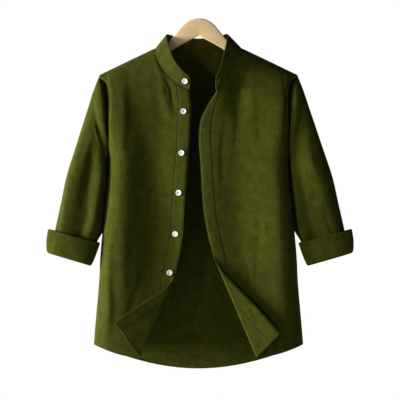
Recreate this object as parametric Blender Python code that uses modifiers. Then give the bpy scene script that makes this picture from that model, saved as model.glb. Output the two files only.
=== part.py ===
"""Band collar shirt on a wooden hanger, worn open, front corners turned out, sleeves rolled.

Frame: metres, +Z up, the front faces -Y, the wearer's right is at -X. The origin is the mouth of the
hook socket, on top of the hanger's crown. Tables are in millimetres, a row for each section or fold.
"""
import math
from collections import namedtuple

import bmesh
import bpy
from mathutils import Matrix, Vector

MM = 0.001
WELD = 0.00001           # metres; points nearer than this are one


def table(columns, *rows):
    """Rows of numbers with named columns."""
    row_type = namedtuple("Row", columns)
    return tuple(row_type(*row) for row in rows)


# Cloth and seams
CLOTH = 1.5              # wall of a single panel
BAND_CLOTH = 2.4         # wall of the collar band and the plackets, which are cloth doubled
ROLL_CLOTH = 3.0         # wall of a rolled turn-up
SEAM_GAP = 0.6           # between the edges of two panels that run on into each other
PLACKET_GAP = 0.9        # between a front and its placket, which are rolled over together
SIDE_GAP = 1.0           # between front and back at the side seam, where both turn in
CORNER_GAP = 1.5         # between the edges of two walls that meet at an angle

# The hung body: a ridge along the shoulders, from which front and back swell out
RIDGE_APEX_Z = -19.0     # where the two shoulder lines would meet, if the neck were closed
RIDGE_ROUND = 30.0       # rounds that meeting
SHOULDER_SLOPE = 0.49    # fall to width
RIDGE_RADIUS = 10.0      # the cloth's bend over the hanger
FRONT_DEPTH = 50.0
BACK_DEPTH = 40.0
SIDE_SQUARENESS = 10.0    # 2 is an ellipse, more is a flatter front with tighter sides
ARMHOLE_REACH = 0.28     # how fast the body's swell runs past the armhole, going up
TIP_X = 229.0            # the shoulder tip, on the ridge

NECK_SIDE_X = 98.0       # where the neckline crosses the ridge
NECK_BACK_DROP = 76.0
YOKE_BACK_Z = -167.0
YOKE_RIDGE_START_X = 104.0   # the yoke's strip nearest the neck, on the ridge and on its back seam
YOKE_BACK_START_X = 101.0
YOKE_RISE = 6            # rows of the yoke from its back seam to the ridge
YOKE_FALL = 3            # rows from the ridge to its front seam
YOKE_SHOULDER_STRIPS = 6 # strips of the yoke from the shoulder tip to the neck's side
YOKE_NECK_STRIPS = 5     # strips from there to the middle of the back
BACK_HEM_DROP = 59.0     # the shirt tail hangs this much lower at its centre than at the sides
BACK_HEM_SHAPE = 0.85

# Sections of the body from hem to shoulder, the same on both sides: the side seam, then the armhole
SIDE = table(
    "x z",
    (242, -756), (236, -680), (230, -608), (228, -564), (223.5, -508),
    (217, -432), (212, -374), (209, -325),
    (207, -281), (206.5, -232), (205.5, -193), (207, -167),
    (210.5, -148.5), (217.5, -139), (226, -134),
)
UNDERARM = 7             # the row of SIDE where the armhole starts
YOKE_ROW = 11            # the row of SIDE where the yoke's back seam meets the armhole
NOTCH = 10               # the row where the front edge ends at the neck

# Front edges, a row for each section from hem to neck notch: the edge, the way from the edge to the
# placket's seam, and how far the section sags at its middle
RIGHT_EDGE = table(
    "x z seam_dx seam_dz sag",
    (-32, -774, -28, 0, 19), (-46, -691, -28, 0, 13), (-57, -617, -28, 0, 6),
    (-49, -575, -28, 0, 2), (-38, -515, -28, 0, 0), (-32, -438, -28, 0, 0),
    (-26, -355, -28, 0, 0), (-21, -296, -28, 0, 0), (-18.5, -237, -28, 0, 0),
    (-17.5, -200, -28, 5, 0), (-22, -169.5, -27.5, 15.5, 0),
)
LEFT_EDGE = table(
    "x z seam_dx seam_dz sag",
    (52, -787, 28, 0, 11), (46, -700, 28, 0, 9), (43.5, -624, 28, 0, 5),
    (37.5, -566, 28, 0, 2), (23, -508, 28, 0, 0), (11, -438, 28, 0, 0),
    (5, -343, 28, 0, 0), (1, -283, 28, 0, 0), (4.5, -241, 27, 4, 0),
    (17, -210, 23, 12, 0), (41.5, -171.5, 17, 22, 0),
)
# The neckline of each front, from the placket's seam to the yoke
RIGHT_NECK = table("x z", (-61, -144.5), (-75, -130), (-90, -107), (-99.5, -85.4))
LEFT_NECK = table("x z", (67, -137), (77, -119), (88, -100), (99.5, -85.4))

# Turned-out corners: two points of the fold's outer edge, seen from the front
RIGHT_CORNER = table("x z", (-61.5, -609.5), (-136, -784))
LEFT_CORNER = table("x z", (43, -571), (136, -790))
FOLD_RADIUS = 5.5
FLAP_RISE = 0.13         # how steeply a turned-out corner stands off the panel
BEND_SNAP = 1.2          # a mesh point this near a bend's line is taken as on it

# The largest folds: from, to, half-width, and depth (a trough is positive, a ridge negative)
FRONT_FOLDS = table(
    "x1 z1 x2 z2 width depth",
    (-180, -60, -196, -690, 38, -11), (-116, -110, -110, -700, 32, 9), (-80, -130, -84, -640, 42, 6),
    (102, -80, 78, -236, 24, 11), (207, -40, 216, -800, 46, -16), (84, -230, 96, -700, 40, 6),
    (-118, -90, -106, -300, 16, -3),
)
BACK_FOLDS = table(
    "x1 z1 x2 z2 width depth",
    (-120, -190, -146, -720, 28, 8), (-48, -200, -60, -760, 22, -6), (30, -260, 24, -780, 24, 6),
    (128, -200, 150, -700, 26, 8), (84, -300, 96, -740, 20, -5), (-182, -330, -200, -700, 16, -5),
)

# Sleeve sections below the armhole. Outer point, inner point given by its height and its distance
# from the body's side, half the depth, and how far the inner point is set back behind the side
SLEEVE = table(
    "outer_x outer_z inner_clear inner_z half_depth set_back",
    (243, -168, 0.8, -341, 27, 12), (255, -206, -1, -356, 31, 24), (269, -250, -2, -376, 35, 28),
    (283, -294, -2.5, -398, 37, 30), (296, -334, -2.5, -424, 37, 30), (307.5, -373, -2.5, -450, 36, 30),
    (319, -429, -1, -490, 33, 24), (331, -486, 9.5, -515, 29.5, 3), (338, -530, 27, -556, 27.5, 0),
)
SECTION_SQUARENESS = 0.8     # 1 is a true oval, less is flatter in front and behind
SET_BACK_CURVE = 1.5
LEFT_SLEEVE_REACH = 7.0  # the left sleeve hangs this much further out
UNDERARM_GAP = 1.2       # more room under the arm, where the sleeve's wall lies along the side's
TURN_UP_SIDES = 24

# Turn-up sections, from the sleeve's end round the lower fold to the upper edge
TURN_UP = table(
    "outer_x outer_z inner_x inner_z half_depth",
    (338.2, -530.9, 254.2, -557, 27.5), (341, -539, 254, -566, 28.5), (346.5, -544.5, 251.5, -573, 31),
    (351.5, -538, 246.5, -568.5, 34), (352, -515, 237.5, -547, 35.5), (348.5, -492, 229.8, -524, 35),
)
# Folds along a sleeve: angle round it (0 outside, 90 front, -90 back), from and to by section,
# half-width in degrees, and depth
RIGHT_SLEEVE_FOLDS = table(
    "angle1 place1 angle2 place2 width depth",
    (84, 1.0, 108, 9.4, 14, 8), (-70, 2.5, -48, 8.4, 18, 5), (40, 2.0, 54, 8.8, 18, -4),
    (-116, 2.0, -100, 8.0, 16, -4),
)
LEFT_SLEEVE_FOLDS = table(
    "angle1 place1 angle2 place2 width depth",
    (112, 2.6, 114, 9.4, 12, 6), (-70, 2.5, -48, 8.4, 18, 5), (72, 1.5, 62, 8.8, 20, -5),
    (-116, 2.0, -100, 8.0, 16, -4),
)

# The collar band's upper edge, from its right front end round the back to its left front end, a row
# for each point of the neckline below it
COLLAR = table(
    "x y z",
    (-16.5, -44, -140), (-33, -44, -127), (-45, -43.5, -114), (-56, -41, -99), (-67, -33, -73),
    (-73, -18, -50), (-73.5, 1, -38), (-62, 17, -39), (-34, 25, -44),
    (-2, 27, -46),
    (30, 25, -44), (55, 17, -39), (67, 1, -37), (66, -21, -50), (60, -36, -78), (54, -42, -103),
    (49, -43, -119), (42, -44, -134), (39, -46, -152),
)
NECK_BACK_SHARES = (-1, -0.82, -0.43, 0, 0.43, 0.82, 1)
COLLAR_END_ROUND = 16.0
COLLAR_END_HEIGHT = 0.5
COLLAR_LEAST_SLANT = 0.4     # where the band leans along its own seam, it starts no further up than this

# Buttons
BUTTON_DIAMETER = 13.0
BUTTON_THICKNESS = 2.6
BUTTON_RIM = 1.6
BUTTON_DISH = 0.7
BUTTON_HOLE = 1.9
BUTTON_HOLE_SPREAD = 1.6
BUTTON_LIFT = 0.5        # over the placket, on its thread
COLLAR_BUTTON_LIFT = 0.7     # the band curves away under its button
BUTTON_PLACES = table("x z", (-34.5, -217.5), (-39, -313.5), (-45.5, -405), (-53, -500.5), (-66.5, -590))
COLLAR_BUTTON_PLACE = 0.55   # in rows of the collar's table
COLLAR_BUTTON_WAY = 0.2      # to a point further along it

# The hanger, drawn from its crown outwards: upper and lower edge
HANGER = table(
    "x top bottom",
    (0, 0, -40.5), (14, -1.8, -48), (27, -6.9, -55), (39, -17.2, -61.5), (53, -36, -69.5),
    (62, -46.5, -75.5), (70, -55.5, -81), (79, -66, -87), (86, -72.5, -91), (98, -75.7, -98),
    (112, -78.8, -105), (125, -84.1, -112), (160, -100.9, -130), (190, -115.4, -145),
    (204, -122.6, -151), (211, -131, -149),
)
HANGER_HALF_THICKNESS = 6.0
HANGER_EDGE_ROUND = 3.5
SOCKET_RADIUS = 2.4
SOCKET_DEPTH = 18.0

OLIVE = (0.075, 0.080, 0.018)
OLIVE_INSIDE = (0.060, 0.065, 0.015)
BUTTON_WHITE = (0.85, 0.84, 0.80)
WOOD = (0.72, 0.53, 0.30)


def clear_scene():
    for old in list(bpy.data.objects):
        bpy.data.objects.remove(old)


def collection(name):
    made = bpy.data.collections.new(name)
    bpy.context.scene.collection.children.link(made)
    return made


def material(name, colour, roughness):
    made = bpy.data.materials.new(name)
    made.use_nodes = True
    shader = made.node_tree.nodes["Principled BSDF"]
    shader.inputs["Base Color"].default_value = (*colour, 1.0)
    shader.inputs["Roughness"].default_value = roughness
    shader.inputs["Metallic"].default_value = 0.0
    return made


def smooth_row(rows, place):
    """A row at a fractional place, on a smooth curve through the rows of a table."""
    last = len(rows) - 1
    start = min(max(int(math.floor(place)), 0), last - 1)
    part = place - start
    before, here, after, beyond = (rows[min(max(start + step, 0), last)] for step in (-1, 0, 1, 2))
    row = []
    for p0, p1, p2, p3 in zip(before, here, after, beyond):
        slope1 = (p2 - p0) / 2
        slope2 = (p3 - p1) / 2
        row.append((2 * part**3 - 3 * part**2 + 1) * p1 + (part**3 - 2 * part**2 + part) * slope1
                   + (3 * part**2 - 2 * part**3) * p2 + (part**3 - part**2) * slope2)
    return here._make(row)


def side_x(z):
    """How far out the side seam, and the armhole above it, lies at a height."""
    if z <= SIDE[0].z:
        return SIDE[0].x
    for place in range(len(SIDE) - 1):
        if z <= SIDE[place + 1].z:
            part = (z - SIDE[place].z) / (SIDE[place + 1].z - SIDE[place].z)
            return smooth_row(SIDE, place + part).x
    return SIDE[-1].x


def ridge(x):
    return RIDGE_APEX_Z - SHOULDER_SLOPE * math.hypot(x, RIDGE_ROUND)


def fold_depth(folds, x, z):
    """How far the folds push the cloth in at a place, each fading out towards its two ends."""
    total = 0.0
    for x1, z1, x2, z2, width, depth in folds:
        length = math.hypot(x2 - x1, z2 - z1)
        along = ((x - x1) * (x2 - x1) + (z - z1) * (z2 - z1)) / length**2
        if 0 < along < 1:
            aside = ((x - x1) * (z2 - z1) - (z - z1) * (x2 - x1)) / length
            total += depth * math.sin(math.pi * along) ** 0.7 * math.exp(-(aside / width) ** 2)
    return total


def swell(x, z, depth):
    """How far a panel stands out from the hanger's plane, before its folds."""
    below = max(ridge(x) - z, 0.0)
    drop = depth * math.tanh(math.sqrt(2 * RIDGE_RADIUS * below) / depth)
    reach = side_x(z) + ARMHOLE_REACH * max(z - SIDE[UNDERARM].z, 0.0)
    across = min(abs(x) / reach, 1.0)
    return drop * math.sqrt(1 - across**SIDE_SQUARENESS)


def front_y(x, z):
    out = swell(x, z, FRONT_DEPTH)
    return -(SIDE_GAP / 2 + out) + fold_depth(FRONT_FOLDS, x, z) * min(out / FRONT_DEPTH, 1.0)


def back_y(x, z):
    out = swell(x, z, BACK_DEPTH)
    return SIDE_GAP / 2 + out - fold_depth(BACK_FOLDS, x, z) * min(out / BACK_DEPTH, 1.0)


def turned_out(corner, x, z):
    """A point of a front, with the corner beyond the fold rolled over, standing a little off the panel."""
    (top_x, top_z), (low_x, low_z) = corner
    length = math.hypot(low_x - top_x, low_z - top_z)
    along = ((low_x - top_x) / length, (low_z - top_z) / length)
    side = math.copysign(1.0, top_x)
    away = (side * along[1], -side * along[0])
    start_x = top_x - FOLD_RADIUS * away[0]
    start_z = top_z - FOLD_RADIUS * away[1]
    past = (x - start_x) * away[0] + (z - start_z) * away[1]
    if past <= 0:
        return Vector((x, front_y(x, z), z))
    run = (x - start_x) * along[0] + (z - start_z) * along[1]
    half_round = math.pi * FOLD_RADIUS
    if past < half_round:
        shift = FOLD_RADIUS * math.sin(past / FOLD_RADIUS)
        lift = FOLD_RADIUS * (1 - math.cos(past / FOLD_RADIUS))
    else:
        shift = half_round - past
        lift = 2 * FOLD_RADIUS + FLAP_RISE * (past - half_round)
    on_fold = (start_x + run * along[0], start_z + run * along[1])
    new_x = on_fold[0] + shift * away[0]
    new_z = on_fold[1] + shift * away[1]
    under = front_y(new_x, new_z)
    if shift < 0:
        under = min(under, (under + front_y(*on_fold)) / 2)
    return Vector((new_x, under - lift, new_z))


def roll_lines(corner):
    """Lines parallel to the fold, a quarter of the half round apart, to bend the mesh on."""
    (top_x, top_z), (low_x, low_z) = corner
    length = math.hypot(low_x - top_x, low_z - top_z)
    side = math.copysign(1.0, top_x)
    away = Vector((side * (low_z - top_z) / length, 0, -side * (low_x - top_x) / length))
    start = Vector((top_x, 0, top_z)) - FOLD_RADIUS * away
    quarter = math.pi * FOLD_RADIUS / 4
    return [(start + away * quarter * step, away) for step in range(5)]


def finish_wall(mesh_object, thickness):
    """Gives an open surface its thickness, half to each side."""
    wall = mesh_object.modifiers.new("cloth", "SOLIDIFY")
    wall.thickness = thickness * MM
    wall.offset = 0.0
    wall.use_quality_normals = True
    mesh_object.data.shade_smooth()


def link(name, mesh, finish, parts):
    made = bpy.data.objects.new(name, mesh)
    made.data.materials.append(finish)
    parts.objects.link(made)
    return made


def panel(name, columns, rows, lay, form, finish, parts, thickness, bends=()):
    """A wall of cloth: a grid laid flat by lay(column, row), bent on lines, then given its form.

    A flat point's y is the small way in x that it moves back from a seam, after the bends are cut.
    """
    net = bmesh.new()
    bmesh.ops.create_grid(net, x_segments=columns, y_segments=rows, size=1.0)
    for vertex in net.verts:
        column = round((vertex.co.x + 1) / 2 * columns)
        row = round((vertex.co.y + 1) / 2 * rows)
        vertex.co = lay(column, row)
    for point, normal in bends:
        bmesh.ops.bisect_plane(net, geom=net.verts[:] + net.edges[:] + net.faces[:],
                               dist=BEND_SNAP, plane_co=point, plane_no=normal)
    for vertex in net.verts:
        vertex.co = form(vertex.co) * MM
    bmesh.ops.remove_doubles(net, verts=net.verts, dist=WELD)
    bmesh.ops.triangulate(net, faces=[face for face in net.faces if len(face.verts) > 4])
    mesh = bpy.data.meshes.new(name)
    net.to_mesh(mesh)
    net.free()
    made = link(name, mesh, finish, parts)
    finish_wall(made, thickness)
    return made


def side_point(row):
    """Where a section meets the side seam or the armhole; sections lie half a table row apart."""
    z = smooth_row(SIDE, row / 2).z
    return side_x(z), z


def front_neckline(edge, neck):
    """The neckline of a front, flat, from its notch over the placket's seam to the yoke."""
    notch = edge[NOTCH]
    point = neck[0]._make
    return (point((notch.x, notch.z)), point((notch.x + notch.seam_dx, notch.z + notch.seam_dz))) + neck


def seam_point(edge, neck, row):
    """Where a section of a front starts: on the placket's seam, or above it on the neckline."""
    if row <= 2 * NOTCH:
        here = smooth_row(edge, row / 2)
        return here.x + here.seam_dx, here.z + here.seam_dz, here.sag
    here = smooth_row(front_neckline(edge, neck)[1:], row / 2 - NOTCH)
    return here.x, here.z, 0.0


def front(name, edge, neck, corner, finish, parts):
    """A front, from its placket's seam and the neckline to the side seam and the armhole."""
    columns = 10
    rows = 2 * (len(SIDE) - 1)
    side = math.copysign(1.0, corner[0].x)

    def lay(column, row):
        in_x, in_z, sag = seam_point(edge, neck, row)
        out_x, out_z = side_point(row)
        share = 1 - (1 - column / columns) ** 1.7
        x = in_x + (side * out_x - in_x) * share
        z = in_z + (out_z - in_z) * share - sag * math.sin(math.pi * share)
        if row == rows:
            z -= SEAM_GAP
        return Vector((x, 0 if column else side * PLACKET_GAP / 2, z))

    return panel(name, columns, rows, lay, lambda flat: turned_out(corner, flat.x + flat.y, flat.z),
                 finish, parts, CLOTH, roll_lines(corner))


def placket(name, edge, corner, finish, parts):
    """The doubled band along a front's edge."""
    columns = 2
    rows = 2 * NOTCH
    side = math.copysign(1.0, corner[0].x)

    def lay(column, row):
        here = smooth_row(edge, row / 2)
        share = column / columns
        return Vector((here.x + here.seam_dx * share, -side * PLACKET_GAP / 2 * share,
                       here.z + here.seam_dz * share))

    return panel(name, columns, rows, lay, lambda flat: turned_out(corner, flat.x + flat.y, flat.z),
                 finish, parts, BAND_CLOTH, roll_lines(corner))


def back(finish, parts):
    columns = 22
    rows = 2 * YOKE_ROW

    def lay(column, row):
        out_x, out_z = side_point(row)
        across = 2 * column / columns - 1
        x = out_x * math.copysign(1 - (1 - abs(across)) ** 1.5, across)
        tail = BACK_HEM_DROP * max(math.cos(math.pi / 2 * x / out_x), 0.0) ** BACK_HEM_SHAPE
        z = out_z - tail * (1 - row / rows) ** 2
        return Vector((x, 0, z - (SEAM_GAP if row == rows else 0)))

    return panel("back", columns, rows, lay, lambda flat: Vector((flat.x, back_y(flat.x, flat.z), flat.z)),
                 finish, parts, CLOTH)


def neck_back_point(x):
    """A point of the back neckline, which rises to the ridge at its two ends."""
    share = abs(x) / NECK_SIDE_X
    z = -NECK_BACK_DROP + (NECK_BACK_DROP + ridge(NECK_SIDE_X)) * share**3
    return Vector((x, back_y(x, z) if share < 1 else 0.0, z))


def yoke_column(place):
    """One strip of the yoke from its back seam upwards; place runs from 0 at the neck to 1 outside."""
    points = []
    ridge_x = YOKE_RIDGE_START_X + (TIP_X - YOKE_RIDGE_START_X) * place
    back_x = YOKE_BACK_START_X + (SIDE[YOKE_ROW].x - YOKE_BACK_START_X) * place
    neck_end, tip_end = RIGHT_NECK[-1], SIDE[-1]
    seam_x = -neck_end.x + (tip_end.x + neck_end.x) * place
    seam_z = neck_end.z + (tip_end.z - neck_end.z) * place
    for row in range(YOKE_RISE):
        share = 1 - (1 - row / YOKE_RISE) ** 2
        x = back_x + (ridge_x - back_x) * share
        z = YOKE_BACK_Z + (ridge(ridge_x) - YOKE_BACK_Z) * share
        if place == 1:
            x, z = smooth_row(SIDE, YOKE_ROW + (len(SIDE) - 1 - YOKE_ROW) * row / YOKE_RISE)
        points.append(Vector((x, back_y(x, z), z)))
    points.append(Vector((ridge_x, 0, ridge(ridge_x))))
    for row in range(1, YOKE_FALL + 1):
        share = (row / YOKE_FALL) ** 2
        x = ridge_x + (seam_x - ridge_x) * share
        z = ridge(ridge_x) + (seam_z - ridge(ridge_x)) * share
        points.append(Vector((x, front_y(x, z), z)))
    return points


def neck_column(x):
    """One strip of the yoke from its back seam to the back neckline, where its upper rows meet."""
    top = neck_back_point(x)
    points = []
    for row in range(YOKE_RISE + 1):
        z = YOKE_BACK_Z + (top.z - YOKE_BACK_Z) * (1 - (1 - row / YOKE_RISE) ** 1.5)
        points.append(Vector((x, back_y(x, z), z)) if row < YOKE_RISE else top)
    return points + [top] * YOKE_FALL


def yoke(finish, parts):
    shoulder = [yoke_column(step / YOKE_SHOULDER_STRIPS) for step in range(YOKE_SHOULDER_STRIPS, -1, -1)]
    neck = [neck_column(NECK_SIDE_X * step / YOKE_NECK_STRIPS) for step in range(YOKE_NECK_STRIPS, -1, -1)]
    half = shoulder + neck
    strips = [[Vector((-point.x, point.y, point.z)) for point in strip] for strip in half]
    strips += half[-2::-1]
    return panel("yoke", len(strips) - 1, YOKE_RISE + YOKE_FALL,
                 lambda column, row: strips[column][row], lambda point: point, finish, parts, CLOTH)


def armhole():
    """The armhole's points and their angles round it, from the tip down the front and up the back."""
    tip = Vector((TIP_X, 0, ridge(TIP_X)))
    low_x, low_z = side_point(2 * UNDERARM)
    low = Vector((low_x, 0, low_z))
    front_run = [tip]
    for row in range(2 * (len(SIDE) - 1), 2 * UNDERARM, -2):
        x, z = side_point(row)
        front_run.append(Vector((x, front_y(x, z), z)))
    back_run = [tip] + yoke_column(1)[YOKE_RISE - 1:0:-1]
    for row in range(2 * YOKE_ROW, 2 * UNDERARM, -2):
        x, z = side_point(row)
        back_run.append(Vector((x, back_y(x, z), z)))
    turns = []
    for run, sign in ((front_run + [low], 1), (back_run + [low], -1)):
        lengths = [0.0]
        for first, second in zip(run, run[1:]):
            lengths.append(lengths[-1] + (second - first).length)
        turns.append([sign * math.pi * length / lengths[-1] for length in lengths])
    return front_run + [low] + back_run[:0:-1], turns[0] + turns[1][-2:0:-1]


def sleeve_dent(folds, place, angle):
    """How far a sleeve's folds push its cloth in, at a place along its table and an angle round it."""
    dent = 0.0
    for fold in folds:
        along = (place - fold.place1) / (fold.place2 - fold.place1)
        if 0 < along < 1:
            middle = fold.angle1 + (fold.angle2 - fold.angle1) * along
            aside = (math.degrees(angle) - middle) / fold.width
            dent += fold.depth * math.sin(math.pi * along) ** 0.7 * math.exp(-aside**2)
    return dent


def squared(value):
    return math.copysign(abs(value) ** SECTION_SQUARENESS, value)


def oval(side, outer, inner, half_depth, angles, dents, set_back=0.0):
    """A section of a sleeve: a flattened oval through its outer and inner points, pushed in by the
    dents, its inner side set back."""
    centre = (outer + inner) / 2
    spread = (outer - inner) / 2
    section = []
    for angle, dent in zip(angles, dents):
        point = centre + spread * squared(math.cos(angle)) * (1 - dent / spread.length)
        back = set_back * ((1 - math.cos(angle)) / 2) ** SET_BACK_CURVE
        out = squared(math.sin(angle)) * (half_depth - dent)
        section.append(Vector((side * point.x, back - out, point.z)))
    return section


def tube(name, sections, finish, parts, thickness):
    """A wall through rings: a grid rolled up, its first and last columns welded into one."""
    count = len(sections[0])
    made = panel(name, count, len(sections) - 1, lambda column, row: sections[row][column % count],
                 lambda point: point, finish, parts, thickness)
    net = bmesh.new()
    net.from_mesh(made.data)
    bmesh.ops.remove_doubles(net, verts=net.verts, dist=WELD)
    net.to_mesh(made.data)
    net.free()
    return made


def sleeve(name, side, reach, folds, finish, parts):
    """A sleeve from the armhole to the turn-up; reach is how much further out its end hangs."""
    ring, angles = armhole()
    first = []
    for point, angle in zip(ring, angles):
        low = max(-math.cos(angle), 0.0)
        first.append(Vector((side * (point.x + CORNER_GAP + UNDERARM_GAP * low), point.y, point.z)))
    sections = [first]
    count = 2 * (len(SLEEVE) - 1)
    for row in range(count + 1):
        here = smooth_row(SLEEVE, row / 2)
        further = reach * row / count
        outer = Vector((here.outer_x + further, 0, here.outer_z))
        apart = here.inner_clear + further / 2 * (row / count) ** 2
        inner = Vector((side_x(here.inner_z) + apart, 0, here.inner_z))
        dents = [sleeve_dent(folds, row / 2, angle) for angle in angles]
        sections.append(oval(side, outer, inner, here.half_depth, angles, dents, here.set_back))
    return tube(name, sections, finish, parts, CLOTH)


def turn_up(name, side, reach, finish, parts):
    """The sleeve's end rolled outwards, from its lower inside round the fold to its upper edge."""
    angles = [2 * math.pi * step / TURN_UP_SIDES for step in range(TURN_UP_SIDES)]
    sections = []
    for here in TURN_UP:
        outer = Vector((here.outer_x + reach, 0, here.outer_z))
        inner = Vector((here.inner_x + reach / 2, 0, here.inner_z))
        sections.append(oval(side, outer, inner, here.half_depth, angles, [0.0] * TURN_UP_SIDES))
    return tube(name, sections, finish, parts, ROLL_CLOTH)


def neckline():
    """A point of the neckline for each row of the collar's table."""
    rear = [neck_back_point(NECK_SIDE_X * share) for share in NECK_BACK_SHARES]
    fronts = [[Vector((point.x, front_y(point.x, point.z), point.z)) for point in front_neckline(edge, neck)]
              for edge, neck in ((RIGHT_EDGE, RIGHT_NECK), (LEFT_EDGE, LEFT_NECK))]
    point = COLLAR[0]._make
    return [point(place) for place in fronts[0] + rear + fronts[1][::-1]]


def collar_strip(place):
    """Seam and top of the band at a place of the collar's table."""
    return Vector(smooth_row(neckline(), place)), Vector(smooth_row(COLLAR, place))


def collar(finish, parts):
    columns = 48
    rows = 3
    last = len(COLLAR) - 1
    strips = [collar_strip(last * (0.5 - 0.5 * math.cos(math.pi * step / columns)))
              for step in range(columns + 1)]
    runs = [0.0]
    for first, second in zip(strips, strips[1:]):
        runs.append(runs[-1] + (second[0] - first[0]).length)

    def lay(column, row):
        seam, top = strips[column]
        from_end = min(runs[column], runs[-1] - runs[column])
        short = 1 - min(from_end / COLLAR_END_ROUND, 1.0)
        height = COLLAR_END_HEIGHT + (1 - COLLAR_END_HEIGHT) * math.sqrt(1 - short**2)
        up = top - seam
        before, after = strips[max(column - 1, 0)][0], strips[min(column + 1, columns)][0]
        slant = up.normalized().cross((after - before).normalized()).length
        start = up.normalized() * CORNER_GAP / max(slant, COLLAR_LEAST_SLANT)
        return seam + start + (up * height - start) * row / rows

    return panel("collar", columns, rows, lay, lambda point: point, finish, parts, BAND_CLOTH)


def rod(net, radius, length, segments, place=Matrix()):
    """Adds a closed cylinder to a mesh, its axis along Z."""
    bmesh.ops.create_cone(net, cap_ends=True, segments=segments, radius1=radius * MM,
                          radius2=radius * MM, depth=length * MM, matrix=place)


def cut_out(made, name, net, cutters):
    """Takes a mesh away from a solid."""
    mesh = bpy.data.meshes.new(name)
    net.to_mesh(mesh)
    net.free()
    cutter = bpy.data.objects.new(name, mesh)
    cutter.matrix_world = made.matrix_world
    cutter.hide_render = True
    cutter.display_type = "WIRE"
    cutters.objects.link(cutter)
    cut = made.modifiers.new(name, "BOOLEAN")
    cut.operation = "DIFFERENCE"
    cut.solver = "EXACT"
    cut.object = cutter


def button(name, place, facing, finish, parts, cutters):
    """A dished disc with four holes, lying on the cloth."""
    net = bmesh.new()
    rod(net, BUTTON_DIAMETER / 2, BUTTON_THICKNESS, segments=18)
    rim = [face for face in net.faces if face.normal.z > 0.9]
    bmesh.ops.inset_region(net, faces=rim, thickness=BUTTON_RIM * MM, depth=-BUTTON_DISH * MM)
    mesh = bpy.data.meshes.new(name)
    net.to_mesh(mesh)
    net.free()
    made = link(name, mesh, finish, parts)
    turn = facing.to_track_quat("Z", "Y").to_matrix().to_4x4()
    made.matrix_world = Matrix.Translation(place * MM) @ turn
    holes = bmesh.new()
    spread = BUTTON_HOLE_SPREAD * MM
    for x_side, y_side in ((-1, -1), (-1, 1), (1, -1), (1, 1)):
        spot = Matrix.Translation((x_side * spread, y_side * spread, 0))
        rod(holes, BUTTON_HOLE / 2, 3 * BUTTON_THICKNESS, segments=6, place=spot)
    cut_out(made, name + "_holes", holes, cutters)


def facing_out(x, z):
    """The way that a front's outer face looks at a place."""
    step = 4.0
    slope_x = (front_y(x + step, z) - front_y(x - step, z)) / (2 * step)
    slope_z = (front_y(x, z + step) - front_y(x, z - step)) / (2 * step)
    return Vector((slope_x, -1, slope_z)).normalized()


def buttons(finish, parts, cutters):
    half = (BAND_CLOTH + BUTTON_THICKNESS) / 2
    for number, (x, z) in enumerate(BUTTON_PLACES, start=1):
        out = facing_out(x, z)
        place = Vector((x, front_y(x, z), z)) + out * (half + BUTTON_LIFT)
        button("button_%d" % number, place, out, finish, parts, cutters)
    seam, top = collar_strip(COLLAR_BUTTON_PLACE)
    next_seam = collar_strip(COLLAR_BUTTON_PLACE + COLLAR_BUTTON_WAY)[0]
    up = (top - seam).normalized()
    out = (next_seam - seam).cross(up).normalized()
    if out.y > 0:
        out = -out
    place = (seam + top) / 2 + out * (half + COLLAR_BUTTON_LIFT)
    button("button_collar", place, out, finish, parts, cutters)


def hanger(finish, parts, cutters):
    """The crown and both arms, drawn flat and given their thickness, with the hook's socket."""
    edge = [(x, top) for x, top, bottom in HANGER]
    under = [(x, bottom) for x, top, bottom in reversed(HANGER)]
    half = edge + under
    outline = half + [(-x, z) for x, z in reversed(half) if x > 0]
    curve = bpy.data.curves.new("hanger_outline", "CURVE")
    curve.dimensions = "2D"
    curve.fill_mode = "BOTH"
    curve.extrude = (HANGER_HALF_THICKNESS - HANGER_EDGE_ROUND) * MM
    curve.bevel_depth = HANGER_EDGE_ROUND * MM
    curve.bevel_resolution = 1
    curve.offset = -HANGER_EDGE_ROUND * MM
    spline = curve.splines.new("POLY")
    spline.points.add(len(outline) - 1)
    spline.use_cyclic_u = True
    for point, (x, z) in zip(spline.points, outline):
        point.co = (x * MM, z * MM, 0, 1)
    flat = bpy.data.objects.new("hanger_flat", curve)
    parts.objects.link(flat)
    flat.rotation_euler = (math.pi / 2, 0, 0)
    bpy.context.view_layer.update()
    mesh = bpy.data.meshes.new_from_object(flat.evaluated_get(bpy.context.evaluated_depsgraph_get()))
    mesh.transform(flat.matrix_world)
    bpy.data.objects.remove(flat)
    net = bmesh.new()
    net.from_mesh(mesh)
    bmesh.ops.remove_doubles(net, verts=net.verts, dist=WELD)
    bmesh.ops.recalc_face_normals(net, faces=net.faces)
    net.to_mesh(mesh)
    net.free()
    mesh.materials.clear()
    made = link("hanger", mesh, finish, parts)
    drill = bmesh.new()
    rod(drill, SOCKET_RADIUS, 2 * SOCKET_DEPTH, segments=16)
    cut_out(made, "hook_socket", drill, cutters)


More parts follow.
